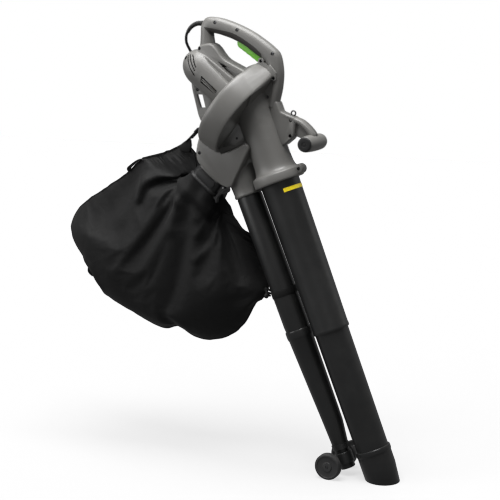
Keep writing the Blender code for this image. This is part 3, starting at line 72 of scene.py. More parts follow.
# %% Camera
CAMERA_PLACE = Vector((1.396, -2.782, 0.074))
CAMERA_AIM = Vector((0.039, 0.0, -0.511))
LENS = 95.76
SENSOR_WIDTH = 36.0
bpy.ops.object.camera_add(location=CAMERA_PLACE)
camera = bpy.context.object
camera.data.lens = LENS
camera.data.sensor_width = SENSOR_WIDTH
camera.rotation_euler = (CAMERA_AIM - camera.location).to_track_quat("-Z", "Y").to_euler()
bpy.context.scene.camera = camera
print("camera", round((CAMERA_AIM - CAMERA_PLACE).length, 3), "m away")

# %% [markdown]
# The backdrop is white to the camera and through clear things, but it lights the tool only softly, and
# its mirror image on the plastic is a little brighter than its light. A Light Path node tells these rays
# apart. Nodes are made often in this lesson, so one helper adds a node and fills its sockets.

# %% World
ROOM_LIGHT = 0.17
MIRRORED_LIGHT = 0.24


def node(tree, kind, links=(), **values):
    """A node with some of its sockets set or linked."""
    made = tree.nodes.new(kind)
    for key, value in values.items():
        setattr(made, key, value)
    for socket, source in links:
        if isinstance(source, bpy.types.NodeSocket):
            tree.links.new(source, made.inputs[socket])
        else:
            made.inputs[socket].default_value = source
    return made


bpy.context.scene.view_settings.view_transform = "Standard"
world = bpy.data.worlds.new("studio")
bpy.context.scene.world = world
world.use_nodes = True
tree = world.node_tree
tree.nodes.clear()
seen = node(tree, "ShaderNodeLightPath")
either = node(tree, "ShaderNodeMath", [(0, seen.outputs["Is Camera Ray"]),
                                       (1, seen.outputs["Is Transmission Ray"])], operation="MAXIMUM")
mirrored = node(tree, "ShaderNodeMix", [("Factor", seen.outputs["Is Glossy Ray"]), ("A", ROOM_LIGHT),
                                        ("B", MIRRORED_LIGHT)], data_type="FLOAT")
glow = node(tree, "ShaderNodeMix", [("Factor", either.outputs[0]), ("A", mirrored.outputs["Result"]),
                                    ("B", 1.0)], data_type="FLOAT")
backing = node(tree, "ShaderNodeBackground", [("Color", (1.0, 1.0, 1.0, 1.0)),
                                              ("Strength", glow.outputs["Result"])])
node(tree, "ShaderNodeOutputWorld", [("Surface", backing.outputs[0])])

# %% [markdown]
# Studio light for a grey tool is mostly from above: the tops of the rounded forms turn pale and their
# undersides fall to a deep grey, which is what shows their shape. Large square lamps keep it soft.

# %% Lamps
LAMPS = (("overhead_box", (0.0, -0.36, 1.9), (0.0, 0.0, -0.3), 1.7, 112.0),
         ("front_box", (1.5, -2.5, 0.6), (0.1, 0.0, -0.5), 1.6, 0.9),
         ("left_box", (-1.8, -1.6, 0.3), (-0.1, 0.0, -0.4), 1.5, 26.0),
         ("rim_box", (1.5, 1.2, 0.2), (0.1, 0.0, -0.5), 1.0, 1.5))
for name, place, target, size, power in LAMPS:
    bpy.ops.object.light_add(type="AREA", location=place)
    box = bpy.context.object
    box.name = name
    box.data.size = size
    box.data.energy = power
    box.rotation_euler = (Vector(target) - Vector(place)).to_track_quat("-Z", "Y").to_euler()
print("lamps", len(LAMPS))

# %% [markdown]
# Every piece is finished in the same way: its place goes into its mesh, it is shaded smooth except
# over its sharp edges, it takes one material, and it rides on the body that it belongs to.

# %% Small helpers for modelling


def pick_none():
    """Deselects everything."""
    for thing in bpy.context.selected_objects:
        thing.select_set(False)


def make_active(piece):
    """Selects one piece alone."""
    pick_none()
    piece.select_set(True)
    bpy.context.view_layer.objects.active = piece
    return piece


def drawn(name, points, filled=False):
    """A circle of as many corners as there are points, with each corner moved to its point."""
    pick_none()
    bpy.ops.mesh.primitive_circle_add(vertices=len(points), fill_type="NGON" if filled else "NOTHING")
    piece = bpy.context.object
    piece.name = name
    piece.data.name = name
    for corner, point in zip(piece.data.vertices, points):
        corner.co = point
    return make_active(piece)


def edit(piece, *steps):
    """Runs edit mode operators on the whole piece."""
    make_active(piece)
    bpy.ops.object.mode_set(mode="EDIT")
    bpy.ops.mesh.select_all(action="SELECT")
    for step in steps:
        step()
    bpy.ops.object.mode_set(mode="OBJECT")
    return piece


def outward():
    """Merges doubles and turns the faces outwards."""
    bpy.ops.mesh.select_all(action="SELECT")
    bpy.ops.mesh.remove_doubles(threshold=0.000002)
    bpy.ops.mesh.normals_make_consistent(inside=False)


def bake_place(piece, place=UPRIGHT):
    """Moves the piece to its frame and puts that place into its mesh."""
    make_active(piece)
    piece.matrix_world = place @ piece.matrix_world
    bpy.context.view_layer.update()
    bpy.ops.object.transform_apply(location=True, rotation=True, scale=True)
    return piece


def rounded(piece, width, segments=3, angle=30.0):
    """Rounds the piece's sharp edges, as a mould does."""
    make_active(piece)
    bevel = piece.modifiers.new("rounding", "BEVEL")
    bevel.width = width
    bevel.segments = segments
    bevel.limit_method = "ANGLE"
    bevel.angle_limit = math.radians(angle)
    bevel.use_clamp_overlap = True
    bpy.ops.object.modifier_apply(modifier="rounding")
    return piece


def painted(piece, material):
    """Gives a piece or a cutter its material."""
    piece.data.materials.append(material)
    return piece


def joined(piece, *others):
    """Joins the other pieces into the first."""
    make_active(piece)
    for other in others:
        other.select_set(True)
    bpy.ops.object.join()
    return piece


def dress(piece, material, body=ROOT, smooth=32.0, replaces=(), slot=None):
    """Shades, paints and mounts a finished piece."""
    make_active(piece)
    bpy.ops.object.shade_smooth_by_angle(angle=math.radians(smooth))
    if not piece.data.materials:
        piece.data.materials.append(material)
    else:
        piece.data.materials[0] = material
    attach(piece, body)
    if replaces:
        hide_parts(*replaces)
    return piece


# %% [markdown]
# Round parts come from a lathe: half of the section is drawn, then the spin tool turns it once round.
# Flat parts are an outline pulled along Y. Handles are rings of points that follow a line.

# %% Lathe, outline and handle tools


def lathe(name, section, steps, place=UPRIGHT):
    """Spins a closed section of (radius, height) points round Z."""
    piece = drawn(name, [(radius, 0.0, height) for radius, height in section])

    def turn():
        bpy.ops.mesh.spin(steps=steps, angle=2.0 * math.pi, center=(0.0, 0.0, 0.0), axis=(0.0, 0.0, 1.0))

    edit(piece, turn, outward)
    return bake_place(piece, place)


def pulled(name, points, shift):
    """Pulls a flat outline along a shift into a closed block."""
    piece = drawn(name, points, filled=True)

    def pull():
        bpy.ops.mesh.extrude_region_move(TRANSFORM_OT_translate={"value": shift})

    return edit(piece, pull, outward)


def slab(name, outline, low, high, place=UPRIGHT):
    """Pulls an outline of (x, z) points along Y."""
    piece = pulled(name, [(x, low, z) for x, z in outline], (0.0, high - low, 0.0))
    return bake_place(piece, place)


def smooth_line(points, steps):
    """A smooth line through the points."""
    line = []
    ends = [points[0], *points, points[-1]]
    for k in range(1, len(ends) - 2):
        a, b, c, d = (Vector(point) for point in ends[k - 1:k + 3])
        for step in range(steps):
            t = step / steps
            line.append(0.5 * (2.0 * b + (c - a) * t + (2.0 * a - 5.0 * b + 4.0 * c - d) * t ** 2
                               + (3.0 * b - a - 3.0 * c + d) * t ** 3))
    line.append(Vector(points[-1]))
    return line


def skinned(name, rings, caps=True):
    """Joins rings of equally many points into one skin, as a loft."""
    count = len(rings[0])
    points = [tuple(point) for ring_points in rings for point in ring_points]
    faces = []
    for row in range(len(rings) - 1):
        for k in range(count):
            near = (k + 1) % count
            low, high = row * count, (row + 1) * count
            faces.append([low + k, low + near, high + near, high + k])
    if caps:
        faces.append(list(range(count)))
        faces.append([(len(rings) - 1) * count + k for k in range(count)])
    mesh = bpy.data.meshes.new(name)
    mesh.from_pydata(points, [], faces)
    piece = bpy.data.objects.new(name, mesh)
    bpy.context.collection.objects.link(piece)
    return edit(piece, outward)


def handle(name, pairs, half_width, steps, points, squareness):
    """A handle through pairs of points on its outer and inner line."""
    outer_line = smooth_line([pair[0] for pair in pairs], steps)
    inner_line = smooth_line([pair[1] for pair in pairs], steps)
    rings = []
    for outer, inner in zip(outer_line, inner_line):
        middle = (outer + inner) / 2.0
        reach = outer - middle
        ring_points = []
        for k in range(points):
            angle = 2.0 * math.pi * (k + 0.5) / points
            across, along = math.cos(angle), math.sin(angle)
            size = (abs(across) ** squareness + abs(along) ** squareness) ** (-1.0 / squareness)
            spot = middle + reach.normalized() * reach.length * across * size
            ring_points.append((spot.x, half_width * along * size, spot.y))
        rings.append(ring_points)
    return skinned(name, rings)


def pin(name, x, z, radius, low, high, steps, place=UPRIGHT):
    """A round rod along Y."""
    section = [(0.0, low), (radius, low), (radius, high), (0.0, high)]
    turned = Matrix.Translation((x, 0.0, z)) @ Matrix.Rotation(math.radians(-90.0), 4, "X")
    return lathe(name, section, steps, place @ turned)


def tube_round(name, route, radii, sides):
    """A solid that follows a line in space."""
    spots = [Vector(point) for point in route]
    rings = []
    across = Vector((0.0, 1.0, 0.0))
    for k, spot in enumerate(spots):
        ahead = (spots[min(k + 1, len(spots) - 1)] - spots[max(k - 1, 0)]).normalized()
        across = (across - ahead * across.dot(ahead)).normalized()
        third = ahead.cross(across)
        turns = (2.0 * math.pi * side / sides for side in range(sides))
        rings.append([spot + radii[k] * (across * math.cos(a) + third * math.sin(a)) for a in turns])
    return skinned(name, rings)


# %% [markdown]
# Cutting is done with closed cutters. A cutter carries its own material, and the cut takes it over. Wells
# and vents take a near-black that paints the shade inside them, so that they read as dark holes at any
# distance, and sunk pockets stay grey.

# %% Cutting and parting tools


def cut_with(piece, *cutters, operation="DIFFERENCE"):
    """Cuts the piece with each cutter and removes the cutter."""
    for cutter in cutters:
        make_active(piece)
        step = piece.modifiers.new("cut", "BOOLEAN")
        step.operation = operation
        step.object = cutter
        step.solver = "EXACT"
        step.material_mode = "TRANSFER"
        bpy.ops.object.modifier_apply(modifier="cut")
        bpy.data.objects.remove(cutter, do_unlink=True)
    return piece


def copy_of(piece, name):
    """A copy with a mesh of its own."""
    made = piece.copy()
    made.data = piece.data.copy()
    made.name = name
    bpy.context.collection.objects.link(made)
    return made


def trimmed(piece, point, direction):
    """Cuts the piece on a plane, drops what lies ahead of it and closes the cut."""
    def slice_off():
        bpy.ops.mesh.bisect(plane_co=point, plane_no=direction, use_fill=True, clear_outer=True)

    return edit(piece, slice_off, outward)


def parted(piece, rounding=0.0004):
    """Splits a moulded form at the mid-plane, with a fine gap between its halves."""
    right = copy_of(piece, piece.name + "_right")
    trimmed(right, (0.0, -SEAM, 0.0), (0.0, 1.0, 0.0))
    trimmed(piece, (0.0, SEAM, 0.0), (0.0, -1.0, 0.0))
    joined(piece, right)
    return rounded(piece, rounding, 2, 40.0) if rounding else piece


# %% [markdown]
# The housing halves are held by screws that sit at the bottom of deep round wells in the right half.

# %% Screw wells
HEAD_RADIUS = 0.0028
WELL_RADIUS = 0.0041
OUTSIDE = 0.09
CROSS = [(-0.0018, -0.0004), (0.0018, -0.0004), (0.0018, 0.0004), (-0.0018, 0.0004)]
extra_heads = []


def well_cutter(x, z, floor_y, place=UPRIGHT):
    """A cutter for one screw well on the right side, carrying the painted shade of the deep hole."""
    return painted(pin("well", x, z, WELL_RADIUS, -OUTSIDE, floor_y, 28, place), well_dark)


def screw_head(x, z, top_y):
    """A domed cross-head that fills the bottom of a well."""
    dome = [(0.0, 0.0), (HEAD_RADIUS, 0.0), (HEAD_RADIUS, 0.0008), (0.0022, 0.0014), (0.0012, 0.0018),
            (0.0, 0.0019)]
    faced = Matrix.Translation((x, top_y + 0.0019, z)) @ Matrix.Rotation(math.radians(90.0), 4, "X")
    head = lathe("extra_head", dome, 24, faced)
    for turn in (35.0, 125.0):
        turned = Matrix.Translation((x, 0.0, z)) @ Matrix.Rotation(math.radians(turn), 4, "Y")
        cut_with(head, slab("arm", CROSS, top_y - 0.001, top_y + 0.0012, turned))
    extra_heads.append(head)


def wells(piece, *spots, place=UPRIGHT):
    """Cuts wells at (x, z, floor) spots. A fourth value of True adds a head there."""
    for x, z, floor_y, *with_head in spots:
        cut_with(piece, well_cutter(x, z, floor_y, place))
        if with_head:
            screw_head(x, z, floor_y - 0.0016)
    return piece


# %% [markdown]
# ## Finishes
# Moulded plastic is never one flat colour. It has a fine spark grain, slow changes of tone where the
# mould was polished, and edges that hands have rubbed a little brighter. These effects are node groups,
# so that every plastic of the tool can share them with its own numbers.

# %% Node group helpers


def new_group(name, inputs, outputs):
    """A shader node group with named sockets."""
    group = bpy.data.node_groups.new(name, "ShaderNodeTree")
    kinds = {"value": "NodeSocketFloat", "colour": "NodeSocketColor", "vector": "NodeSocketVector"}
    for label, kind, start in inputs:
        socket = group.interface.new_socket(name=label, in_out="INPUT", socket_type=kinds[kind])
        if start is not None:
            socket.default_value = start
    for label, kind in outputs:
        group.interface.new_socket(name=label, in_out="OUTPUT", socket_type=kinds[kind])
    entry = group.nodes.new("NodeGroupInput")
    leave = group.nodes.new("NodeGroupOutput")
    return group, entry, leave


def mixed_by(group, entry, leave, first, second, other):
    """Ends a group: where both masks and its Amount are high, its Colour turns to the other colour."""
    both = node(group, "ShaderNodeMath", [(0, first.outputs["Result"]), (1, second.outputs["Result"])],
                operation="MULTIPLY")
    amount = node(group, "ShaderNodeMath", [(0, both.outputs[0]), (1, entry.outputs["Amount"])],
                  operation="MULTIPLY", use_clamp=True)
    blend = node(group, "ShaderNodeMix", [("Factor", amount.outputs[0]), (6, entry.outputs["Colour"]),
                                          (7, entry.outputs[other])], data_type="RGBA")
    group.links.new(blend.outputs[2], leave.inputs["Colour"])
    group.links.new(amount.outputs[0], leave.inputs["Mask"])


# %% [markdown]
# The grain is one fine noise for the height of the surface and one broad noise that shifts the tone and
# the gloss together, as an uneven mould does.

# %% Group: moulded grain
grain_group, entry, leave = new_group(
    "Moulded Grain",
    [("Position", "vector", None), ("Colour", "colour", (0.2, 0.2, 0.2, 1.0)),
     ("Grain Scale", "value", 900.0), ("Tone Change", "value", 0.12), ("Gloss", "value", 0.45),
     ("Gloss Change", "value", 0.12)],
    [("Colour", "colour"), ("Roughness", "value"), ("Height", "value")])
fine = node(grain_group, "ShaderNodeTexNoise", [("Vector", entry.outputs["Position"]),
                                                ("Scale", entry.outputs["Grain Scale"]), ("Detail", 3.0)])
broad = node(grain_group, "ShaderNodeTexNoise", [("Vector", entry.outputs["Position"]), ("Scale", 14.0),
                                                 ("Detail", 4.0), ("Roughness", 0.6)])
tone = node(grain_group, "ShaderNodeMapRange", [("Value", broad.outputs["Fac"]), ("From Min", 0.3),
                                                ("From Max", 0.7), ("To Min", -1.0), ("To Max", 1.0)])
swing = node(grain_group, "ShaderNodeMath", [(0, tone.outputs["Result"]), (1, entry.outputs["Tone Change"]),
                                             (2, 1.0)], operation="MULTIPLY_ADD")
shaded = node(grain_group, "ShaderNodeVectorMath", [(0, entry.outputs["Colour"]),
                                                    ("Scale", swing.outputs[0])], operation="SCALE")
shine = node(grain_group, "ShaderNodeMath", [(0, tone.outputs["Result"]), (1, entry.outputs["Gloss Change"]),
                                             (2, entry.outputs["Gloss"])], operation="MULTIPLY_ADD")
grain_group.links.new(shaded.outputs["Vector"], leave.inputs["Colour"])
grain_group.links.new(shine.outputs[0], leave.inputs["Roughness"])
grain_group.links.new(fine.outputs["Fac"], leave.inputs["Height"])

# %% [markdown]
# Rubbed edges need to know where an edge is. Pointiness tells how much a surface bends outwards, and a
# patchy noise breaks the line up, so that the wear comes and goes as it does on a used tool.

# %% Group: rubbed edges
rub_group, entry, leave = new_group(
    "Rubbed Edges",
    [("Position", "vector", None), ("Colour", "colour", (0.2, 0.2, 0.2, 1.0)),
     ("Rub Colour", "colour", (0.4, 0.4, 0.4, 1.0)), ("Amount", "value", 0.4)],
    [("Colour", "colour"), ("Mask", "value")])
shape = node(rub_group, "ShaderNodeNewGeometry")
edge = node(rub_group, "ShaderNodeMapRange", [("Value", shape.outputs["Pointiness"]), ("From Min", 0.53),
                                              ("From Max", 0.62)])
patches = node(rub_group, "ShaderNodeTexNoise", [("Vector", entry.outputs["Position"]), ("Scale", 60.0),
                                                 ("Detail", 5.0)])
patch = node(rub_group, "ShaderNodeMapRange", [("Value", patches.outputs["Fac"]), ("From Min", 0.4),
                                               ("From Max", 0.65)])
mixed_by(rub_group, entry, leave, edge, patch, "Rub Colour")
print("groups", len(bpy.data.node_groups))

# %% [markdown]
# Garden dust settles on whatever faces up, in soft clouds and fine specks.

# %% Group: settled dust
dust_group, entry, leave = new_group(
    "Settled Dust",
    [("Position", "vector", None), ("Colour", "colour", (0.2, 0.2, 0.2, 1.0)),
     ("Dust Colour", "colour", (0.42, 0.4, 0.36, 1.0)), ("Amount", "value", 0.1)],
    [("Colour", "colour"), ("Mask", "value")])
shape = node(dust_group, "ShaderNodeNewGeometry")
up = node(dust_group, "ShaderNodeSeparateXYZ", [(0, shape.outputs["Normal"])])
facing_up = node(dust_group, "ShaderNodeMapRange", [("Value", up.outputs["Z"]), ("From Min", -0.1),
                                                    ("From Max", 1.0)])
clouds = node(dust_group, "ShaderNodeTexNoise", [("Vector", entry.outputs["Position"]), ("Scale", 30.0),
                                                 ("Detail", 8.0), ("Roughness", 0.7)])
cloud = node(dust_group, "ShaderNodeMapRange", [("Value", clouds.outputs["Fac"]), ("From Min", 0.42),
                                                ("From Max", 0.75)])
mixed_by(dust_group, entry, leave, facing_up, cloud, "Dust Colour")
print("groups", len(bpy.data.node_groups))

# %% [markdown]
# Each plastic then chains the three groups and adds its own bump. The housing is a satin grey, the tubes
# are a darker blow-moulded black, and the grip's insert is softer and has a coarser grain.

# %% Plastics


def grouped(tree, group, links):
    """A node that places a group in a tree."""
    return node(tree, "ShaderNodeGroup", links, node_tree=group)


def new_material(name):
    """A material with its tree and its shader."""
    made = bpy.data.materials.new(name)
    made.use_nodes = True
    return made, made.node_tree, made.node_tree.nodes["Principled BSDF"]


def fed(tree, shader, colour, roughness, normal):
    """Links the sockets that every finish here varies over its surface."""
    tree.links.new(colour, shader.inputs["Base Color"])
    tree.links.new(roughness, shader.inputs["Roughness"])
    tree.links.new(normal, shader.inputs["Normal"])


def plastic(name, colour, gloss, grain_scale, grain_depth, tone_change, rub, dust, rub_colour=None,
            specular=0.5, glow=0.0):
    """A moulded plastic with grain, rubbed edges, a little dust and, where asked, a painted glow."""
    made, tree, shader = new_material(name)
    spot = node(tree, "ShaderNodeTexCoord")
    place = spot.outputs["Object"]
    grain = grouped(tree, grain_group, [("Position", place), ("Colour", (*colour, 1.0)),
                                        ("Grain Scale", grain_scale), ("Tone Change", tone_change),
                                        ("Gloss", gloss), ("Gloss Change", 0.07)])
    lighter = rub_colour or tuple(min(1.0, part * 1.7 + 0.02) for part in colour)
    rubbed = grouped(tree, rub_group, [("Position", place), ("Colour", grain.outputs["Colour"]),
                                       ("Rub Colour", (*lighter, 1.0)), ("Amount", rub)])
    dusted = grouped(tree, dust_group, [("Position", place), ("Colour", rubbed.outputs["Colour"]),
                                        ("Amount", dust)])
    bump = node(tree, "ShaderNodeBump", [("Height", grain.outputs["Height"]), ("Strength", grain_depth),
                                         ("Distance", 0.0004)])
    fed(tree, shader, dusted.outputs["Colour"], grain.outputs["Roughness"], bump.outputs["Normal"])
    shader.inputs["Specular IOR Level"].default_value = specular
    # A glow paints extra light into the colour of a part that is no lamp.
    if glow:
        tree.links.new(dusted.outputs["Colour"], shader.inputs["Emission Color"])
        shader.inputs["Emission Strength"].default_value = glow
    return made


housing_grey = plastic("housing_grey", (0.15, 0.147, 0.14), 0.42, 1100.0, 0.07, 0.05, 0.35, 0.1)
grip_insert_grey = plastic("grip_insert_grey", (0.038, 0.035, 0.033), 0.62, 700.0, 0.25, 0.06, 0.2, 0.05,
                           specular=0.4)
tube_black = plastic("tube_black", (0.0145, 0.0148, 0.015), 0.36, 800.0, 0.08, 0.1, 0.4, 0.06,
                     specular=0.45)
trim_black = plastic("trim_black", (0.01, 0.01, 0.0105), 0.48, 900.0, 0.12, 0.08, 0.3, 0.04, specular=0.35)
# A near-black that paints the shade inside wells, vents, windows and cut slots.
well_dark = plastic("well_dark", (0.008, 0.008, 0.008), 0.75, 900.0, 0.0, 0.02, 0.0, 0.0, specular=0.3)
wheel_plastic = plastic("wheel_plastic", (0.044, 0.044, 0.045), 0.55, 800.0, 0.1, 0.1, 0.4, 0.1,
                        specular=0.3)
cord_rubber = plastic("cord_rubber", (0.009, 0.009, 0.009), 0.55, 900.0, 0.15, 0.06, 0.1, 0.04,
                      specular=0.35)
# The trigger and the yellow strip take a painted glow that makes them brighter than their light alone.
trigger_green = plastic("trigger_green", (0.12, 0.4, 0.02), 0.36, 1000.0, 0.06, 0.05, 0.2, 0.03,
                        (0.2, 0.5, 0.08), glow=0.06)
warning_yellow = plastic("warning_yellow", (0.9, 0.7, 0.02), 0.34, 600.0, 0.03, 0.04, 0.0, 0.03, glow=0.3)
print("plastics", len(bpy.data.materials))

# %% [markdown]
# Metals are brushed or plated. Noise that is stretched along one direction gives the fine lines of
# brushing in their roughness.

# %% Metals


def metal(name, colour, gloss, stretch=(1.0, 1.0, 30.0), depth=0.08):
    """A worked metal with fine drawn lines."""
    made, tree, shader = new_material(name)
    spot = node(tree, "ShaderNodeTexCoord")
    along = node(tree, "ShaderNodeMapping", [("Vector", spot.outputs["Object"]), ("Scale", stretch)])
    lines = node(tree, "ShaderNodeTexNoise", [("Vector", along.outputs["Vector"]), ("Scale", 160.0),
                                              ("Detail", 4.0)])
    rough = node(tree, "ShaderNodeMapRange", [("Value", lines.outputs["Fac"]), ("To Min", gloss - 0.08),
                                              ("To Max", gloss + 0.14)])
    stains = node(tree, "ShaderNodeTexNoise", [("Vector", spot.outputs["Object"]), ("Scale", 45.0),
                                               ("Detail", 6.0)])
    darker = tuple(part * 0.7 for part in colour)
    tint = node(tree, "ShaderNodeMix", [("Factor", stains.outputs["Fac"]), (6, (*darker, 1.0)),
                                        (7, (*colour, 1.0))], data_type="RGBA")
    bump = node(tree, "ShaderNodeBump", [("Height", lines.outputs["Fac"]), ("Strength", depth),
                                         ("Distance", 0.0002)])
    fed(tree, shader, tint.outputs[2], rough.outputs["Result"], bump.outputs["Normal"])
    shader.inputs["Metallic"].default_value = 1.0
    return made


plated_steel = metal("plated_steel", (0.62, 0.62, 0.63), 0.3)
screw_steel = metal("screw_steel", (0.1, 0.1, 0.105), 0.45)
pressed_brass = metal("pressed_brass", (0.75, 0.55, 0.25), 0.33)
wound_copper = metal("wound_copper", (0.72, 0.34, 0.17), 0.38, (30.0, 30.0, 1.0))
laminated_steel = metal("laminated_steel", (0.35, 0.35, 0.36), 0.42, (1.0, 1.0, 60.0), 0.3)
print("materials", len(bpy.data.materials))

# %% [markdown]
# Many moulded forms here are made in the same few steps: an outline with rounded edges, pockets sunk into
# both of its sides, screw wells, and the parting line of the two housing halves.

# %% Moulding tools
BOTH_SIDES = (-1.0, 1.0)


def span(side, near, far):
    """The lower and the upper end of a stretch on one side of the mid-plane."""
    return sorted((side * near, side * far))


def moulded_slab(name, outline, half_width, rounding, segments=3):
    """A flat moulded form in the housing's grey."""
    return painted(rounded(slab(name, outline, -half_width, half_width), rounding, segments), housing_grey)


def sunk(piece, name, outline, near, far, material):
    """Sinks an outline into both sides of a piece."""
    for side in BOTH_SIDES:
        cut_with(piece, painted(rounded(slab(name, outline, *span(side, near, far)), 0.0012, 2), material))


def finish_moulding(piece, *spots, gap=0.0003, **look):
    """Sinks the wells, parts the form at the mid-plane and dresses it."""
    wells(piece, *spots)
    parted(piece, gap)
    return dress(piece, housing_grey, **look)


def ribbon(line, width):
    """The outline of a narrow band that follows a line of (x, z) points."""
    sides = ([], [])
    for k, spot in enumerate(line):
        ahead = (Vector(line[min(k + 1, len(line) - 1)]) - Vector(line[max(k - 1, 0)])).normalized()
        across = Vector((-ahead.y, ahead.x)) * width / 2.0
        sides[0].append(tuple(Vector(spot) + across))
        sides[1].append(tuple(Vector(spot) - across))
    return sides[0] + sides[1][::-1]


# %% [markdown]
# ## The fan drum
# The drum is turned: a lip stands proud round its front face, the wall widens a little towards the back,
# and the back edge rolls over. A spun section gives all of this in one go, with true circles. Where the
# air leaves the wheel, the wall runs straight on into the front leg, so a wedge is joined to the drum there.

# %% Fan drum
DRUM = FAN @ Matrix.Translation((-0.022, 0.0, 0.0))
drum_section = [
    (0.0, 0.006), (0.096, 0.006), (0.099, 0.0052), (0.101, 0.0032), (0.1022, 0.001), (0.1036, 0.0001),
    (0.1052, 0.0002), (0.1066, 0.0012), (0.1076, 0.0035), (0.1086, 0.01), (0.1101, 0.022), (0.1113, 0.034),
    (0.1119, 0.044), (0.1119, 0.049), (0.1111, 0.053), (0.1092, 0.0562), (0.106, 0.0582), (0.1015, 0.059),
    (0.0, 0.059)]
fan_drum = painted(lathe("fan_drum", drum_section, 128, DRUM), housing_grey)
HORN = ((0.0005, 0.1026, 0.1225), (0.0035, 0.1072, 0.1262), (0.01, 0.1083, 0.128), (0.022, 0.1098, 0.1275),
        (0.034, 0.111, 0.1262), (0.044, 0.1116, 0.124), (0.049, 0.1116, 0.1225), (0.053, 0.1108, 0.1195),
        (0.0562, 0.1089, 0.114))
TIP_HALF = 0.0205
horn_rings = []
for height, radius, tip in HORN:
    turn = math.atan2(TIP_HALF, tip) + math.acos(radius / math.hypot(tip, TIP_HALF))
    near, far = radius * math.cos(turn), radius * math.sin(turn)
    corners = [(0.03, -0.04), (near, -far), (tip, -TIP_HALF), (tip, TIP_HALF), (near, far), (0.03, 0.04)]
    horn_rings.append([DRUM @ Vector((x, y, height)) for x, y in corners])
horn = painted(rounded(skinned("horn", horn_rings), 0.0022, 3, 48.0), housing_grey)
cut_with(fan_drum, horn, operation="UNION")
finish_moulding(fan_drum, (0.0204, -0.244, -0.031, True), gap=0.0, smooth=40.0, slot="housing_plastic",
                replaces=("left_housing", "right_housing"))
print("drum", len(fan_drum.data.polygons), "faces")

# %% [markdown]
# A thin rib runs down the flat face of the drum, beside the place where the intake pipe enters it.

# %% Rib on the drum face
RIB_STATIONS = ((-0.113, 0.001), (-0.09, 0.0013), (-0.06, 0.0013), (-0.03, 0.0013), (-0.005, 0.001))
rib_line = [FAN @ Vector((across, -0.03, 0.0058)) for across, radius in RIB_STATIONS]
face_rib = tube_round("face_rib", rib_line, [radius for across, radius in RIB_STATIONS], 12)
dress(face_rib, housing_grey, smooth=60.0)
print("rib", round((rib_line[-1] - rib_line[0]).length, 4), "m long")

# %% [markdown]
# ## The motor case
# Behind the drum sits a round case with a domed end. It is spun like the drum. Then slots are cut into
# the dome, where the motor draws its cooling air.

# %% Motor case
CASE_RADIUS = 0.043
CASE_START = 0.03
DOME_START = 0.16
DOME_HEIGHT = 0.0525
DOME_STEPS = 19
case_section = [(0.0, CASE_START)] + [(CASE_RADIUS, CASE_START + 0.01 * step) for step in range(14)]
for step in range(1, DOME_STEPS):
    turn = 0.5 * math.pi * step / DOME_STEPS
    case_section.append((CASE_RADIUS * math.cos(turn) ** 0.92, DOME_START + DOME_HEIGHT * math.sin(turn)))
case_section.append((0.0, DOME_START + DOME_HEIGHT))
motor_case = painted(lathe("motor_case", case_section, 96, FAN), housing_grey)
print("motor case", round(DOME_START + DOME_HEIGHT - CASE_START, 4), "m long")

# %% [markdown]
# Three curved slots on each side of the dome let the cooling air in. A cutter follows each line.

# %% Vents in the dome
VENT_WIDTH = 0.0028
CLEAR = 0.06
VENT_LINES = (((-0.1094, -0.0552), (-0.1027, -0.0698), (-0.0955, -0.0849), (-0.0844, -0.1022)),
              ((-0.1027, -0.0539), (-0.0949, -0.0696), (-0.0885, -0.081), (-0.0827, -0.0915)),
              ((-0.0951, -0.0537), (-0.0891, -0.065), (-0.0848, -0.074), (-0.0802, -0.0834)))
vents = []
# The slots' walls take the painted shade of their hollow.
for side in BOTH_SIDES:
    for number, spots in enumerate(VENT_LINES):
        outline = ribbon(smooth_line(spots, 5), VENT_WIDTH)
        vents.append(painted(slab(f"vent_{number}", outline, *span(side, 0.012, CLEAR)), well_dark))
cut_with(motor_case, *vents)
print("vents", len(vents))

# %% [markdown]
# Two louvred windows let the warm air out beside the drum. Each is a sunk rectangle with thin bars.
# Above them the case is cut back to the spine, which leaves a long soft crease from drum to handle.

# %% Side windows of the motor case
WINDOW = [(-0.0654, -0.1017), (-0.025, -0.1353), (-0.0301, -0.145), (-0.0695, -0.1171)]
# The windows' floor and walls take the painted shade of their hollow.
sunk(motor_case, "window", WINDOW, 0.02, CLEAR, well_dark)
CREASE = [(-0.0773, -0.038), (-0.0765, -0.046), (-0.072, -0.053), (-0.0629, -0.0624), (-0.0526, -0.0739),
          (-0.0053, -0.1156), (0.01, -0.128), (0.03, -0.115), (-0.01, -0.08), (-0.04, -0.03)]
sunk(motor_case, "recess", CREASE, 0.0242, CLEAR, housing_grey)
wells(motor_case, (-0.1155, -0.062, -0.018, True))
rounded(motor_case, 0.0007, 2, 48.0)
parted(motor_case, 0.0)
dress(motor_case, housing_grey, smooth=40.0, slot="housing_plastic")
bars = []
for drop in (0.005, 0.0102):
    bar = slab("louvre", [(-0.07, -0.0985 - drop), (-0.024, -0.1362 - drop), (-0.025, -0.1382 - drop),
                          (-0.0712, -0.1003 - drop)], -0.0405, 0.0405)
    bars.append(rounded(bar, 0.0004, 2))
louvres = joined(*bars)
louvres.name = "louvres"
dress(louvres, housing_grey)
print("motor case", len(motor_case.data.polygons), "faces")

# %% [markdown]
# Through the windows the motor shows: a stack of thin steel sheets with bulges of copper wire at its ends.

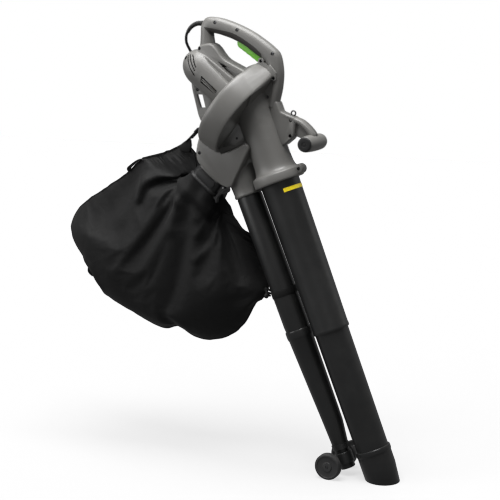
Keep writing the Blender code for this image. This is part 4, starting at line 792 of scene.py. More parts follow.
# %% Stator behind the windows
core_section = [(0.022, 0.106), (0.0362, 0.106), (0.0366, 0.1066), (0.0366, 0.1354), (0.0362, 0.136),
                (0.022, 0.136)]
core_stack = lathe("core_stack", core_section, 72, FAN)
dress(core_stack, laminated_steel, replaces=("motor_stator",), slot="steel", smooth=35.0)
COIL_RADIUS = 0.03
COIL_STATIONS = ((-0.55, 0.004), (-0.4, 0.0052), (-0.2, 0.0056), (0.0, 0.0056), (0.2, 0.0056), (0.4, 0.0052),
                 (0.55, 0.004))
coils = []
for height, rise in ((0.1045, -0.007), (0.1375, 0.007)):
    for turn in (0.0, 90.0, 180.0, 270.0):
        arc = []
        for bend, thick in COIL_STATIONS:
            around = math.radians(turn) + bend
            arc.append((COIL_RADIUS * math.cos(around), COIL_RADIUS * math.sin(around),
                        height + rise * math.cos(2.4 * bend)))
        coils.append(bake_place(tube_round("coil", arc, [thick for bend, thick in COIL_STATIONS], 14), FAN))
field_coils = joined(*coils)
field_coils.name = "field_coils"
dress(field_coils, wound_copper, smooth=60.0)
print("coils", len(coils))

# %% [markdown]
# ## Spine, post and rear bracket
# Flat webs join the case to the handle. Each is an outline pulled along Y with its edges rounded, and
# pockets are sunk into it to keep the walls thin, as in any moulding.

# %% Spine
SPINE = [(-0.0885, -0.035), (-0.07, -0.029), (-0.056, -0.0275), (-0.048, -0.031), (-0.04, -0.0385),
         (-0.032, -0.049), (-0.024, -0.0585), (-0.016, -0.065), (-0.006, -0.07), (0.008, -0.0765),
         (0.024, -0.084), (0.05, -0.096), (0.03, -0.14), (-0.03, -0.11), (-0.088, -0.064)]
spine = moulded_slab("spine", SPINE, 0.021, 0.006, 5)
TRIANGLE = [(-0.0345, -0.0688), (-0.0176, -0.0762), (0.0149, -0.0935), (0.026, -0.1), (0.003, -0.1072),
            (-0.0112, -0.0927)]
sunk(spine, "pocket", TRIANGLE, 0.013, 0.04, housing_grey)
finish_moulding(spine, (-0.0195, -0.0789, -0.008, True), (-0.0824, -0.04, -0.015, True),
                slot="housing_plastic")
print("spine", len(spine.data.polygons), "faces")

# %% [markdown]
# The rear bracket is a thin web that carries the strap of the bag. A slot through it makes it lighter.

# %% Rear bracket
BRACKET = [(-0.114, -0.116), (-0.1108, -0.1375), (-0.106, -0.156), (-0.0955, -0.195), (-0.09, -0.208),
           (-0.06, -0.236), (-0.03, -0.19), (-0.06, -0.15), (-0.1033, -0.1183)]
BRACKET_SLOT = [(-0.099, -0.148), (-0.0835, -0.148), (-0.0755, -0.178), (-0.089, -0.179)]
rear_bracket = moulded_slab("rear_bracket", BRACKET, 0.0045, 0.0015)
cut_with(rear_bracket, moulded_slab("slot", BRACKET_SLOT, 0.03, 0.0012, 2))
finish_moulding(rear_bracket, (-0.0962, -0.1369, -0.0028, True), slot="housing_plastic")
print("bracket", len(rear_bracket.data.polygons), "faces")

# %% [markdown]
# ## The main grip
# The grip is a loop that swells and narrows along its way, so no primitive fits. Rings follow pairs of
# points on its outer and inner edge. A softer insert fills its underside. One closed zone cuts the loop
# twice, once to keep the insert and once to take it away, so that the two meet along one line.

# %% Main grip and its insert
GRIP_PAIRS = [
    ((-0.094, -0.062), (-0.046, -0.066)), ((-0.088, -0.03), (-0.053, -0.028)),
    ((-0.086, -0.008), (-0.056, -0.012)), ((-0.084, 0.014), (-0.056, -0.003)),
    ((-0.072, 0.0307), (-0.05, -0.005)), ((-0.05, 0.0321), (-0.04, -0.007)),
    ((-0.025, 0.028), (-0.029, -0.01)), ((0.012, 0.016), (-0.001, -0.019)),
    ((0.048, 0.0), (0.029, -0.034)), ((0.075, -0.016), (0.051, -0.049)),
    ((0.102, -0.035), (0.072, -0.063)), ((0.117, -0.052), (0.085, -0.078)),
    ((0.1238, -0.088), (0.095, -0.096)), ((0.1215, -0.124), (0.0985, -0.122)),
    ((0.115, -0.154), (0.0935, -0.15)), ((0.11, -0.172), (0.089, -0.168))]
INSERT_TOP = [(-0.072, 0.009), (-0.046, 0.005), (0.004, -0.005), (0.05, -0.03), (0.0745, -0.0495)]
INSERT_BELOW = [(0.076, -0.08), (0.03, -0.062), (-0.02, -0.036), (-0.05, -0.02), (-0.06, -0.006)]


def insert_zone(grow):
    """The block of space that the insert takes from the grip."""
    lifted = [(x + 0.42 * grow, z + 0.91 * grow) for x, z in smooth_line(INSERT_TOP, 5)]
    return slab("zone", lifted + INSERT_BELOW, -0.05, 0.05)


main_grip = painted(handle("main_grip", GRIP_PAIRS, 0.0165, 8, 48, 2.35), housing_grey)
grip_insert_skin = copy_of(main_grip, "grip_insert_skin")
cut_with(grip_insert_skin, insert_zone(-SEAM), operation="INTERSECT")
# The grip's faces along the insert's line take the painted shade of the gap.
cut_with(main_grip, painted(insert_zone(SEAM), well_dark))
TRIGGER_ROOM = [(0.0085, -0.056), (0.0085, -0.006), (0.024, -0.0085), (0.048, -0.024), (0.08, -0.044),
                (0.0925, -0.055), (0.0925, -0.076), (0.08, -0.0815), (0.06, -0.086)]
# The walls round the trigger take the painted shade of its slot.
for piece in (main_grip, grip_insert_skin):
    cut_with(piece, painted(slab("trigger_room", TRIGGER_ROOM, -0.0094, 0.0094), well_dark))
GRIP_SCREWS = [(-0.044, 0.02, -0.0115), (0.0135, 0.0035, -0.0115), (0.103, -0.049, -0.0115),
               (0.108, -0.104, -0.0115)]
wells(main_grip, *GRIP_SCREWS)
wells(grip_insert_skin, GRIP_SCREWS[1])
parted(main_grip, 0.0)
parted(grip_insert_skin, 0.0)
dress(main_grip, housing_grey, slot="housing_plastic", smooth=35.0)
dress(grip_insert_skin, grip_insert_grey, replaces=("grip_insert",), slot="grip_rubber", smooth=35.0)
print("grip", len(main_grip.data.polygons), "insert", len(grip_insert_skin.data.polygons))

# %% [markdown]
# Where the front leg meets the drum there are a small raised plate over one screw and, above the drum, a
# cheek on each side of the trigger that ends in a round boss.

# %% Plate, cheeks and web under the grip
PLATE = [(0.0985, -0.0725), (0.115, -0.0915), (0.115, -0.1085), (0.1085, -0.111), (0.096, -0.106),
         (0.0862, -0.0968)]
plate = moulded_slab("grip_foot", PLATE, 0.021, 0.002)
finish_moulding(plate, GRIP_SCREWS[3])
CHEEK = [(0.03, -0.085), (0.038, -0.0815), (0.0452, -0.0778), (0.0554, -0.0741), (0.063, -0.072),
         (0.068, -0.069), (0.08, -0.068), (0.09, -0.074), (0.099, -0.09), (0.095, -0.115),
         (0.04, -0.115)]
BOSS_AT = (0.0746, -0.0658)
for side, label in ((-1.0, "right"), (1.0, "left")):
    low, high = span(side, 0.0099, 0.0168)
    cheek = slab(f"{label}_cheek", CHEEK, low, high)
    cut_with(cheek, pin("boss", *BOSS_AT, 0.0073, low, high, 40), operation="UNION")
    painted(rounded(cheek, 0.0022, 3, 45.0), housing_grey)
    if side < 0.0:
        wells(cheek, (*BOSS_AT, -0.0125, True))
    dress(cheek, housing_grey)
BRIDGE = [(0.03, -0.087), (0.05, -0.08), (0.09, -0.083), (0.095, -0.115), (0.04, -0.115)]
dress(slab("bridge", BRIDGE, -0.014, 0.014), housing_grey)
POST_WEB = [(0.05, -0.085), (0.1, -0.1), (0.106, -0.125), (0.1, -0.17), (0.09, -0.176),
            (0.04, -0.15)]
post_web = moulded_slab("post_web", POST_WEB, 0.01, 0.0012)
finish_moulding(post_web, (0.088, -0.1482, -0.008, True))
print("plate", len(plate.data.polygons), "web", len(post_web.data.polygons), "faces")

# %% [markdown]
# ## Ducts
# The lower half of the body gathers four ways: the intake pipe from the vacuum tube, the wide duct to
# the bag, the round socket of the blow tube and the base of the front handle. Round ones are spun, flat
# ones are pulled outlines with a generous bevel.

# %% Intake pipe and flange
pipe_section = [(0.0455, -0.001), (0.058, -0.001), (0.0592, 0.0006), (0.0596, 0.003), (0.0592, 0.0175),
                (0.0584, 0.0196), (0.0565, 0.0212), (0.053, 0.0226), (0.05, 0.025), (0.0478, 0.03),
                (0.0464, 0.037), (0.0457, 0.045), (0.0455, 0.06), (0.0455, 0.212), (0.043, 0.212),
                (0.043, 0.018), (0.0465, 0.0178)]
intake_pipe = lathe("intake_pipe", pipe_section, 96, TUBE)
fan_back = FAN.to_3x3() @ Vector((0.0, 0.0, 1.0))
trimmed(intake_pipe, FAN @ Vector((0.0, 0.0, 0.02)), fan_back)
ear = painted(rounded(pin("flange_ear", 0.0622, 0.0118, 0.0112, -0.015, 0.0085, 48, TUBE), 0.0022, 3),
              housing_grey)
wells(ear, (0.0633, 0.0125, -0.0085), place=TUBE)
finish_moulding(intake_pipe, gap=0.0, smooth=40.0, slot="housing_plastic")
dress(ear, housing_grey, slot="housing_plastic")
print("pipe", len(intake_pipe.data.polygons), "faces")

# %% [markdown]
# The discharge duct is a flat box that leads the leaves from the drum to the bag. A narrower throat is
# joined to it under the drum, so that no light shows between the two.

# %% Discharge duct
DUCT = [(-0.073, -0.246), (-0.0775, -0.262), (-0.08, -0.283), (-0.0785, -0.2955), (-0.074, -0.3055),
        (-0.016, -0.353), (0.002, -0.36), (0.011, -0.356), (0.014, -0.354), (0.058, -0.266),
        (0.056, -0.258), (0.0471, -0.2528), (0.0247, -0.2656), (0.0076, -0.2729), (-0.0124, -0.2799),
        (-0.036, -0.252)]
THROAT = [(-0.0171, -0.279), (-0.0036, -0.273), (0.0105, -0.2648), (0.0232, -0.2574), (0.0332, -0.2496),
          (0.0448, -0.24), (0.0531, -0.232), (0.07, -0.25), (0.04, -0.31), (-0.025, -0.3)]
duct = moulded_slab("duct", DUCT, 0.046, 0.004, 4)
throat = painted(slab("throat", THROAT, -0.022, 0.022), housing_grey)
cut_with(duct, throat, operation="UNION")
finish_moulding(duct, (-0.07, -0.281, -0.04), gap=0.0, slot="housing_plastic")
print("duct", len(duct.data.polygons), "faces")

# %% [markdown]
# The blow tube plugs into a round socket with a soft lip. Its section is spun.

# %% Blow socket
socket_section = [(0.0292, -0.0005), (0.0318, -0.0005), (0.0332, 0.0008), (0.0337, 0.003), (0.0333, 0.0052),
                  (0.0326, 0.007), (0.033, 0.02), (0.0345, 0.04), (0.0365, 0.06), (0.037, 0.075),
                  (0.0292, 0.075)]
blow_socket = lathe("blow_socket", socket_section, 80, BLOWER)
finish_moulding(blow_socket, gap=0.0, smooth=40.0, slot="housing_plastic")
print("socket", len(blow_socket.data.polygons), "faces")

# %% [markdown]
# The front handle grows out of a thick flat base beside the intake pipe. Two screws hold it.

# %% Base of the front handle
BASE = [(0.094, -0.16), (0.103, -0.156), (0.1146, -0.1575), (0.1234, -0.18), (0.1422, -0.1868),
        (0.156, -0.1912), (0.1612, -0.196), (0.1606, -0.206), (0.1579, -0.2325), (0.15, -0.243),
        (0.134, -0.256), (0.11, -0.262)]
handle_base = moulded_slab("handle_base", BASE, 0.0152, 0.0042, 4)
finish_moulding(handle_base, (0.1495, -0.199, -0.007, True), (0.148, -0.2345, -0.007, True),
                slot="housing_plastic")
print("base", len(handle_base.data.polygons), "faces")

# %% [markdown]
# The bag outlet ends in a short rectangular spigot with rounded corners.

# %% Bag spigot


def rounded_rectangle(half_x, half_y, corner, steps=8):
    """Points round a rectangle with rounded corners."""
    made = []
    for quarter, (side_x, side_y) in enumerate(((1, 1), (-1, 1), (-1, -1), (1, -1))):
        for step in range(steps + 1):
            angle = 0.5 * math.pi * (quarter + step / steps)
            made.append((side_x * (half_x - corner) + corner * math.cos(angle),
                         side_y * (half_y - corner) + corner * math.sin(angle)))
    return made


def frame_ring(name, stations, place):
    """A rectangular ring through stations of (half x, half y, corner, height)."""
    rings = [[(x, y, height) for x, y in rounded_rectangle(half_x, half_y, corner)]
             for half_x, half_y, corner, height in stations]
    rings.append(rings[0])
    return bake_place(skinned(name, rings, caps=False), place)


spigot = frame_ring("bag_spigot", [(0.036, 0.043, 0.014, -0.0015), (0.036, 0.043, 0.014, 0.0118),
                                   (0.035, 0.042, 0.013, 0.0122), (0.035, 0.042, 0.013, -0.0015)], OUTLET)
dress(spigot, housing_grey, slot="housing_plastic")
print("spigot", len(spigot.data.polygons), "faces")

# %% [markdown]
# ## Front handle
# The small handle in front is a bent arm with a cross grip, closed by a dark cap on the right.

# %% Front arm and grip
ARM = [((0.148, -0.189), (0.145, -0.204)), ((0.158, -0.1918), (0.155, -0.205)),
       ((0.1739, -0.1975), (0.168, -0.2105)), ((0.1911, -0.21), (0.183, -0.222)),
       ((0.205, -0.225), (0.193, -0.235)), ((0.208, -0.233), (0.194, -0.243))]
front_arm = handle("front_arm", ARM, 0.0145, 6, 40, 2.7)
ARM_WEB = [(0.145, -0.199), (0.16, -0.203), (0.175, -0.211), (0.189, -0.224), (0.196, -0.24),
           (0.185, -0.248), (0.1729, -0.2405), (0.1643, -0.237), (0.1556, -0.2345), (0.145, -0.24)]
joined(front_arm, rounded(slab("arm_web", ARM_WEB, -0.0062, 0.0062), 0.0012, 2))
finish_moulding(front_arm, replaces=("front_handle_arm",), slot="housing_plastic")
GRIP_AXIS = Matrix.Translation((0.197, 0.0, -0.2495)) @ Matrix.Rotation(math.radians(-90.0), 4, "X")
grip_section = [(0.0, -0.043), (0.0158, -0.043), (0.0172, -0.042), (0.0178, -0.04), (0.0183, -0.034),
                (0.0187, -0.024), (0.0193, -0.013), (0.0195, 0.0), (0.0194, 0.015), (0.019, 0.033),
                (0.0184, 0.042), (0.017, 0.0475), (0.0148, 0.0512), (0.0112, 0.0532), (0.006, 0.0539),
                (0.0, 0.054)]
dress(lathe("front_grip_skin", grip_section, 64, GRIP_AXIS), housing_grey, replaces=("front_grip",),
      slot="housing_plastic", smooth=45.0)
cap_section = [(0.0, -0.0472), (0.002, -0.0472), (0.0026, -0.0463), (0.0055, -0.0463), (0.006, -0.0472),
               (0.013, -0.0476), (0.015, -0.0472), (0.0163, -0.0461), (0.0168, -0.044), (0.0168, -0.0433),
               (0.0, -0.0433)]
dress(lathe("grip_cap", cap_section, 64, GRIP_AXIS), trim_black, replaces=("front_grip_cap",),
      slot="black_plastic", smooth=35.0)
print("front arm", len(front_arm.data.polygons), "faces")

# %% [markdown]
# A shoulder strap hooks into a steel eye over the handle. A small circle is spun into a ring.

# %% Strap eye
WIRE_RADIUS = 0.0017
eye_turns = [k * math.pi / 8.0 for k in range(16)]
eye_section = [(0.0054 + WIRE_RADIUS * math.cos(turn), WIRE_RADIUS * math.sin(turn)) for turn in eye_turns]
EYE = Matrix.Translation((0.1497, 0.0, -0.1835)) @ Matrix.Rotation(math.radians(90.0), 4, "X")
dress(lathe("strap_eye_ring", eye_section, 48, EYE), screw_steel, replaces=("strap_eye",), slot="steel",
      smooth=50.0)
print("eye wire", WIRE_RADIUS * 2.0, "m thick")

# %% [markdown]
# ## Trigger
# The trigger is the one bright piece. Its front has three shallow finger ridges.

# %% Trigger
TRIGGER = [(0.012, -0.018), (0.01, -0.023), (0.0098, -0.03), (0.0125, -0.035), (0.017, -0.0385),
           (0.0215, -0.0408), (0.025, -0.044), (0.031, -0.0474), (0.035, -0.0508), (0.042, -0.0548),
           (0.047, -0.059), (0.054, -0.0632), (0.06, -0.068), (0.066, -0.0708), (0.073, -0.0725),
           (0.08, -0.072), (0.084, -0.07), (0.0855, -0.065), (0.0855, -0.06), (0.078, -0.055),
           (0.064, -0.0505), (0.042, -0.035), (0.024, -0.022)]
trigger_skin = rounded(slab("trigger_skin", TRIGGER, -0.009, 0.009), 0.0026, 4)
dress(trigger_skin, trigger_green, "trigger", replaces=("trigger",), slot="green_plastic")
print("trigger", len(trigger_skin.data.polygons), "faces")

# %% [markdown]
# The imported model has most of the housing's screws. The others were made with their wells, and all of
# these become one piece.

# %% Loose screw heads
screw_heads = joined(*extra_heads)
screw_heads.name = "screw_heads"
screw_heads.data.materials.clear()
dress(screw_heads, screw_steel, smooth=35.0)
print("screw heads", len(extra_heads))

# %% [markdown]
# ## The tubes
# Both tubes are spun. The suction tube tapers, steps down at its joint and ends in a mouth that is cut
# level with the ground, so the tool rests on a flat rim while it leans.

# %% Vacuum tube
upper_section = [(0.0432, 0.0175), (0.0458, 0.0175), (0.046, 0.016), (0.046, 0.0), (0.0427, -0.356),
                 (0.0432, -0.358), (0.0434, -0.361), (0.0432, -0.3645), (0.0424, -0.366), (0.0399, -0.366),
                 (0.04, -0.334)]
upper_tube = lathe("upper_tube", upper_section, 96, TUBE)
dress(upper_tube, tube_black, replaces=("upper_vacuum_tube",), slot="tube_plastic", smooth=40.0)
lower_section = [(0.037, -0.336), (0.0392, -0.336), (0.0395, -0.338), (0.0395, -0.37), (0.0386, -0.52),
                 (0.0377, -0.657), (0.0374, -0.687), (0.035, -0.687), (0.0352, -0.65)]
lower_tube = lathe("lower_tube", lower_section, 96, TUBE)
dress(lower_tube, tube_black, replaces=("lower_vacuum_tube",), slot="tube_plastic", smooth=40.0)
print("tubes", len(upper_tube.data.polygons) + len(lower_tube.data.polygons), "faces")

# %% [markdown]
# The mouth is made upright first, because its lower part leans forward: its points are shifted more and
# more below the ring. Then it is set on the tube and cut off at the ground.

# %% Mouth
MOUTH_LEAN = 0.004
MOUTH_BEND_AT = -0.7
MOUTH_BEND_RUN = 0.08
mouth_section = [(0.0379, -0.6555), (0.0398, -0.6556), (0.041, -0.6566), (0.0415, -0.659), (0.0415, -0.665),
                 (0.0411, -0.6678), (0.0401, -0.6692), (0.0399, -0.7), (0.0354, -0.78), (0.033, -0.78),
                 (0.037, -0.6885), (0.0379, -0.6876)]
mouth = lathe("mouth", mouth_section, 96)
for corner in mouth.data.vertices:
    corner.co.x -= MOUTH_LEAN * max(0.0, MOUTH_BEND_AT - corner.co.z) / MOUTH_BEND_RUN
bake_place(mouth, TUBE)
trimmed(mouth, (0.0, 0.0, GROUND), (0.0, 0.0, -1.0))
rounded(mouth, 0.0006, 2, 50.0)
dress(mouth, tube_black, replaces=("mouth_collar",), slot="tube_plastic", smooth=35.0)
print("mouth", len(mouth.data.polygons), "faces")

# %% [markdown]
# The nozzle narrows on one side only. Its other side keeps straight on beside the suction tube, so the
# turned shape is pushed out there, more and more towards the wheels.

# %% Blow tube and nozzle
blow_section = [(0.0265, 0.0215), (0.0288, 0.0215), (0.029, 0.02), (0.029, -0.002), (0.0299, -0.005),
                (0.0298, -0.324), (0.029, -0.333), (0.029, -0.351), (0.0265, -0.351)]
dress(lathe("blow_pipe", blow_section, 80, BLOWER), tube_black, replaces=("blow_tube",),
      slot="tube_plastic", smooth=40.0)
TAPER_START = -0.357
TAPER_RUN = 0.281
PUSH = 0.0085
PUSH_RISE = 0.016
nozzle_section = [(0.0293, -0.3352), (0.0304, -0.335), (0.0312, -0.3362), (0.0314, -0.339), (0.0314, -0.349),
                  (0.0311, -0.352), (0.0304, -0.3545), (0.0293, -0.357), (0.024, -0.48), (0.02, -0.57),
                  (0.0176, -0.638), (0.0168, -0.642), (0.0168, -0.65), (0.017, -0.6805), (0.0166, -0.6812),
                  (0.0148, -0.6812), (0.0146, -0.642), (0.015, -0.638), (0.018, -0.57), (0.0262, -0.356),
                  (0.0292, -0.352)]
nozzle = lathe("nozzle", nozzle_section, 80)
for corner in nozzle.data.vertices:
    share = (TAPER_START - corner.co.z) / TAPER_RUN
    if 0.0 < share <= 1.0 and corner.co.x > 0.0:
        corner.co.x += PUSH * share * math.sin(0.5 * math.pi * min(1.0, corner.co.x / PUSH_RISE))
bake_place(nozzle, BLOWER)
dress(nozzle, tube_black, replaces=("blow_nozzle",), slot="tube_plastic", smooth=40.0)
print("nozzle", len(nozzle.data.polygons), "faces")

# %% [markdown]
# A plain yellow strip warns where the suction tube ends. It is a thin curved band on the tube's front.

# %% Yellow strip
STRIP_SECTION = ((0.0456, -0.019), (0.0463, -0.0193), (0.0462, -0.0277), (0.0455, -0.028))
strip_turns = [math.radians(-62.0 + 124.0 * step / 40.0) for step in range(41)]
strip_rings = [[(radius * math.cos(turn), radius * math.sin(turn), height)
                for radius, height in STRIP_SECTION] for turn in strip_turns]
yellow_strip = bake_place(skinned("yellow_strip", strip_rings), TUBE)
dress(yellow_strip, warning_yellow, replaces=("warning_band",), slot="yellow_strip")
print("strip", len(yellow_strip.data.polygons), "faces")

# %% [markdown]
# ## Wheels
# Two small wheels ride on an axle through a bracket at the end of the blow tube. A shallow dish and a
# raised hub make the plain disc read as a wheel.

# %% Bracket, clip, axle and wheels
AXLE_X = -0.0235
AXLE_HEIGHT = -0.6577
LYING = Matrix.Rotation(math.radians(90.0), 4, "X")
wheel_section = [(0.0043, -0.0085), (0.0105, -0.0085), (0.011, -0.008), (0.0114, -0.0072), (0.024, -0.0071),
                 (0.025, -0.0074), (0.0256, -0.0083), (0.0284, -0.0085), (0.0298, -0.0078),
                 (0.0305, -0.0062), (0.0305, 0.0062), (0.0298, 0.0078), (0.0284, 0.0085),
                 (0.0256, 0.0083), (0.025, 0.0074), (0.024, 0.0071), (0.0114, 0.0072), (0.011, 0.008),
                 (0.0105, 0.0085), (0.0043, 0.0085)]
for side, label in ((1.0, "left"), (-1.0, "right")):
    spot = BLOWER @ Matrix.Translation((AXLE_X, side * 0.05, AXLE_HEIGHT)) @ LYING
    dress(lathe(f"{label}_tyre", wheel_section, 72, spot), wheel_plastic, f"{label}_wheel",
          replaces=(f"{label}_wheel",), slot="tube_plastic", smooth=35.0)
bracket_section = [(0.0172, -0.669), (0.0196, -0.669), (0.0203, -0.6683), (0.0203, -0.6437),
                   (0.0196, -0.643), (0.0172, -0.643)]
bracket_ring = lathe("bracket_ring", bracket_section, 56, BLOWER)
barrel = rounded(pin("barrel", AXLE_X, AXLE_HEIGHT, 0.008, -0.0408, 0.0408, 40, BLOWER), 0.0008, 2)
BRACKET_WEB = [(AXLE_X, AXLE_HEIGHT - 0.01), (-0.016, AXLE_HEIGHT - 0.01), (-0.016, AXLE_HEIGHT + 0.01),
               (AXLE_X, AXLE_HEIGHT + 0.01)]
bracket_web = rounded(slab("bracket_web", BRACKET_WEB, -0.012, 0.012, BLOWER), 0.0015, 3)
joined(bracket_ring, barrel, bracket_web)
dress(bracket_ring, tube_black, replaces=("wheel_bracket",), slot="tube_plastic", smooth=40.0)
axle_pin = rounded(pin("axle_pin", AXLE_X, AXLE_HEIGHT, 0.0038, -0.0578, 0.0578, 32, BLOWER), 0.0006, 2)
dress(axle_pin, screw_steel, replaces=("axle",), slot="steel", smooth=40.0)
print("wheel", round(2.0 * max(radius for radius, height in wheel_section), 4), "m across")

# %% [markdown]
# ## Cord
# The cord leaves the back of the grip through a moulded sleeve with ring grooves, then hangs down
# behind the motor to its plug.

# %% Strain relief, cord and plug
RELIEF_LINE = [(-0.0715, 0.0, 0.0178), (-0.0865, 0.0, 0.0175), (-0.098, 0.0, 0.017), (-0.109, 0.0, 0.0125),
               (-0.118, 0.0005, 0.0055), (-0.1245, 0.0015, -0.003)]
relief_line = smooth_line(RELIEF_LINE, 12)
relief_radii = []
for number, spot in enumerate(relief_line):
    share = number / (len(relief_line) - 1)
    radius = 0.0062 - 0.0018 * share ** 1.5
    if 14 < number and number % 4 in (2, 3):
        radius -= 0.0007
    relief_radii.append(radius)
relief = tube_round("relief", relief_line, relief_radii, 28)
dress(relief, cord_rubber, replaces=("strain_relief",), slot="cord_rubber", smooth=30.0)
relief_end = Vector(RELIEF_LINE[-1])
relief_ahead = (relief_end - Vector(RELIEF_LINE[-2])).normalized()
CORD_POINTS = [tuple(relief_end + relief_ahead * 0.0012), tuple(relief_end + relief_ahead * 0.004),
               (-0.13, 0.0036, -0.014), (-0.132, 0.0085, -0.028), (-0.129, 0.018, -0.044),
               (-0.125, 0.031, -0.062), (-0.1195, 0.044, -0.083), (-0.114, 0.055, -0.108),
               (-0.1095, 0.062, -0.138), (-0.1065, 0.0655, -0.17), (-0.105, 0.067, -0.205),
               (-0.1045, 0.0675, -0.24)]
CORD_RADIUS = 0.0033
cord_line = smooth_line(CORD_POINTS, 2)
bpy.ops.curve.primitive_nurbs_path_add()
lead = bpy.context.object
lead.name = "lead"
lead.data.splines.clear()
lead_spline = lead.data.splines.new("POLY")
lead_spline.points.add(len(cord_line) - 1)
for corner, spot in zip(lead_spline.points, cord_line):
    corner.co = (*spot, 1.0)
lead.data.bevel_depth = CORD_RADIUS
lead.data.bevel_resolution = 6
lead.data.use_fill_caps = True
painted(lead, cord_rubber)
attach(lead, ROOT)
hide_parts("supply_cord")

# %% [markdown]
# ## The cloth bag
# The bag is two flat panels of woven nylon, sewn edge to edge and pulled over the outlet's collar. It is
# made in that way too. The flat panel is filled with small, even triangles, because cloth folds best in
# them, and it keeps its flat shape as a UV map for the weave. Front and back then share the seam's points.

# %% Flat panel
RIM_CENTRE = Vector((-0.0673, -0.3558))
RIM_ACROSS = Vector((-0.776, 0.631))
RIM_OUT = Vector((-0.631, -0.776))
NECK_LEFT = tuple(RIM_CENTRE + RIM_ACROSS * 0.041)
NECK_RIGHT = tuple(RIM_CENTRE - RIM_ACROSS * 0.041)
SEAM_LINE = [
    NECK_LEFT, (-0.108, -0.319), (-0.1085, -0.3), (-0.118, -0.279), (-0.13, -0.265),
    (-0.145, -0.268), (-0.165, -0.277), (-0.193, -0.2885), (-0.231, -0.3), (-0.264, -0.312),
    (-0.29, -0.333), (-0.314, -0.35), (-0.3516, -0.3746), (-0.3897, -0.3991), (-0.4235, -0.4236),
    (-0.4482, -0.4498), (-0.4595, -0.4752),
    (-0.461, -0.496), (-0.4528, -0.5242), (-0.4367, -0.5518), (-0.418, -0.578), (-0.4092, -0.6),
    (-0.394, -0.615), (-0.382, -0.634), (-0.3698, -0.648), (-0.344, -0.661), (-0.3114, -0.6766),
    (-0.2789, -0.6918), (-0.2467, -0.706), (-0.2193, -0.716), (-0.1919, -0.722), (-0.1578, -0.72),
    (-0.1331, -0.728), (-0.1063, -0.734), (-0.0753, -0.7345), (-0.04, -0.727), (-0.0137, -0.715),
    (0.006, -0.702), (0.029, -0.678), (0.054, -0.643), (0.072, -0.62), (0.086, -0.5985),
    (0.079, -0.568), (0.068, -0.534), (0.057, -0.506), (0.045, -0.483), (0.027, -0.463),
    (0.01, -0.443), (0.001, -0.423), (-0.012, -0.406), NECK_RIGHT]
CELL = 0.0085


def spaced(line, gap):
    """Points along a line, one gap apart."""
    made = [Vector(line[0])]
    left = gap
    for start, end in zip(line, line[1:]):
        start, end = Vector(start), Vector(end)
        length = (end - start).length
        at = left
        while at < length:
            made.append(start.lerp(end, at / length))
            at += gap
        left = at - length
    return made


def off_line(spot, line):
    """How far a spot is from the nearest piece of a line."""
    best = 9.0
    for start, end in zip(line, line[1:]):
        along = end - start
        share = max(0.0, min(1.0, (spot - start).dot(along) / along.length_squared))
        best = min(best, (start + along * share - spot).length)
    return best


def eased(share):
    """A soft step from 0 to 1."""
    share = max(0.0, min(1.0, share))
    return share * share * (3.0 - 2.0 * share)


seam = spaced(smooth_line(SEAM_LINE, 6), CELL)
neck = spaced([NECK_RIGHT, NECK_LEFT], CELL / 1.8)[1:-1]
rim = seam + neck
ROW_RATIO = 0.866
RIM_ROOM = 0.62
PANEL_LEFT, PANEL_LOW = -0.468, -0.742
PANEL_WIDTH, PANEL_HEIGHT = 0.53, 0.48
inner = []
for row in range(int(PANEL_HEIGHT / (CELL * ROW_RATIO)) + 1):
    height = PANEL_LOW + row * CELL * ROW_RATIO
    for column in range(int(PANEL_WIDTH / CELL) + 1):
        inner.append(Vector((PANEL_LEFT + (column + 0.5 * (row % 2)) * CELL, height)))
closed_rim = rim + [rim[0]]
inner = [spot for spot in inner if off_line(spot, closed_rim) > CELL * RIM_ROOM]
count = len(rim)
fill = delaunay_2d_cdt(rim + inner, [(k, (k + 1) % count) for k in range(count)], [], 1, 0.00001)
flat, triangles = fill[0], fill[2]
print("panel", len(flat), "points", len(triangles), "triangles")

# %% [markdown]
# The panel swells away from its seam, fast at first and then slowly. Near the collar it gives way to a
# tube that starts on the collar's rounded rectangle. This is only the shape the cloth starts from.

# %% Swollen start
SWELL = 0.068
NECK_RUN = 0.115


def rim_point(share, side):
    """A point on one half of the collar's rounded rectangle, in the collar's own frame."""
    half_x, half_y, corner = 0.041, 0.0475, 0.017
    path = [(half_x, 0.0), (half_x, half_y - corner)]
    for step in range(1, 6):
        turn = 0.5 * math.pi * step / 6.0
        path.append((half_x - corner + corner * math.cos(turn), half_y - corner + corner * math.sin(turn)))
    path.append((half_x - corner, half_y))
    path += [(-x, y) for x, y in reversed(path)]
    lengths = [math.dist(a, b) for a, b in zip(path, path[1:])]
    left = share * sum(lengths)
    for (start, end), length in zip(zip(path, path[1:]), lengths):
        if left <= length:
            mix = left / length
            return start[0] + (end[0] - start[0]) * mix, side * (start[1] + (end[1] - start[1]) * mix)
        left -= length
    return path[-1][0], side * path[-1][1]


def swollen(spot, side):
    """Where a point of the flat panel starts, on the front or the back."""
    reach = off_line(spot, seam)
    depth = SWELL * (1.0 - (1.0 - min(1.0, reach / 0.19)) ** 2.2)
    offset = spot - RIM_CENTRE
    run = offset.dot(RIM_OUT)
    across = offset.dot(RIM_ACROSS)
    place = Vector((spot.x, side * depth, spot.y))
    if run < NECK_RUN and reach > 0.0:
        half_width = 0.041 + 0.55 * max(0.0, run)
        share = max(0.0, min(1.0, 0.5 - 0.5 * across / half_width))
        round_x, round_y = rim_point(share, side)
        middle = RIM_CENTRE + RIM_OUT * run + RIM_ACROSS * round_x * (1.0 + 0.9 * max(0.0, run) / NECK_RUN)
        tube_spot = Vector((middle.x, round_y, middle.y))
        place = tube_spot.lerp(place, eased(run / NECK_RUN))
    return place


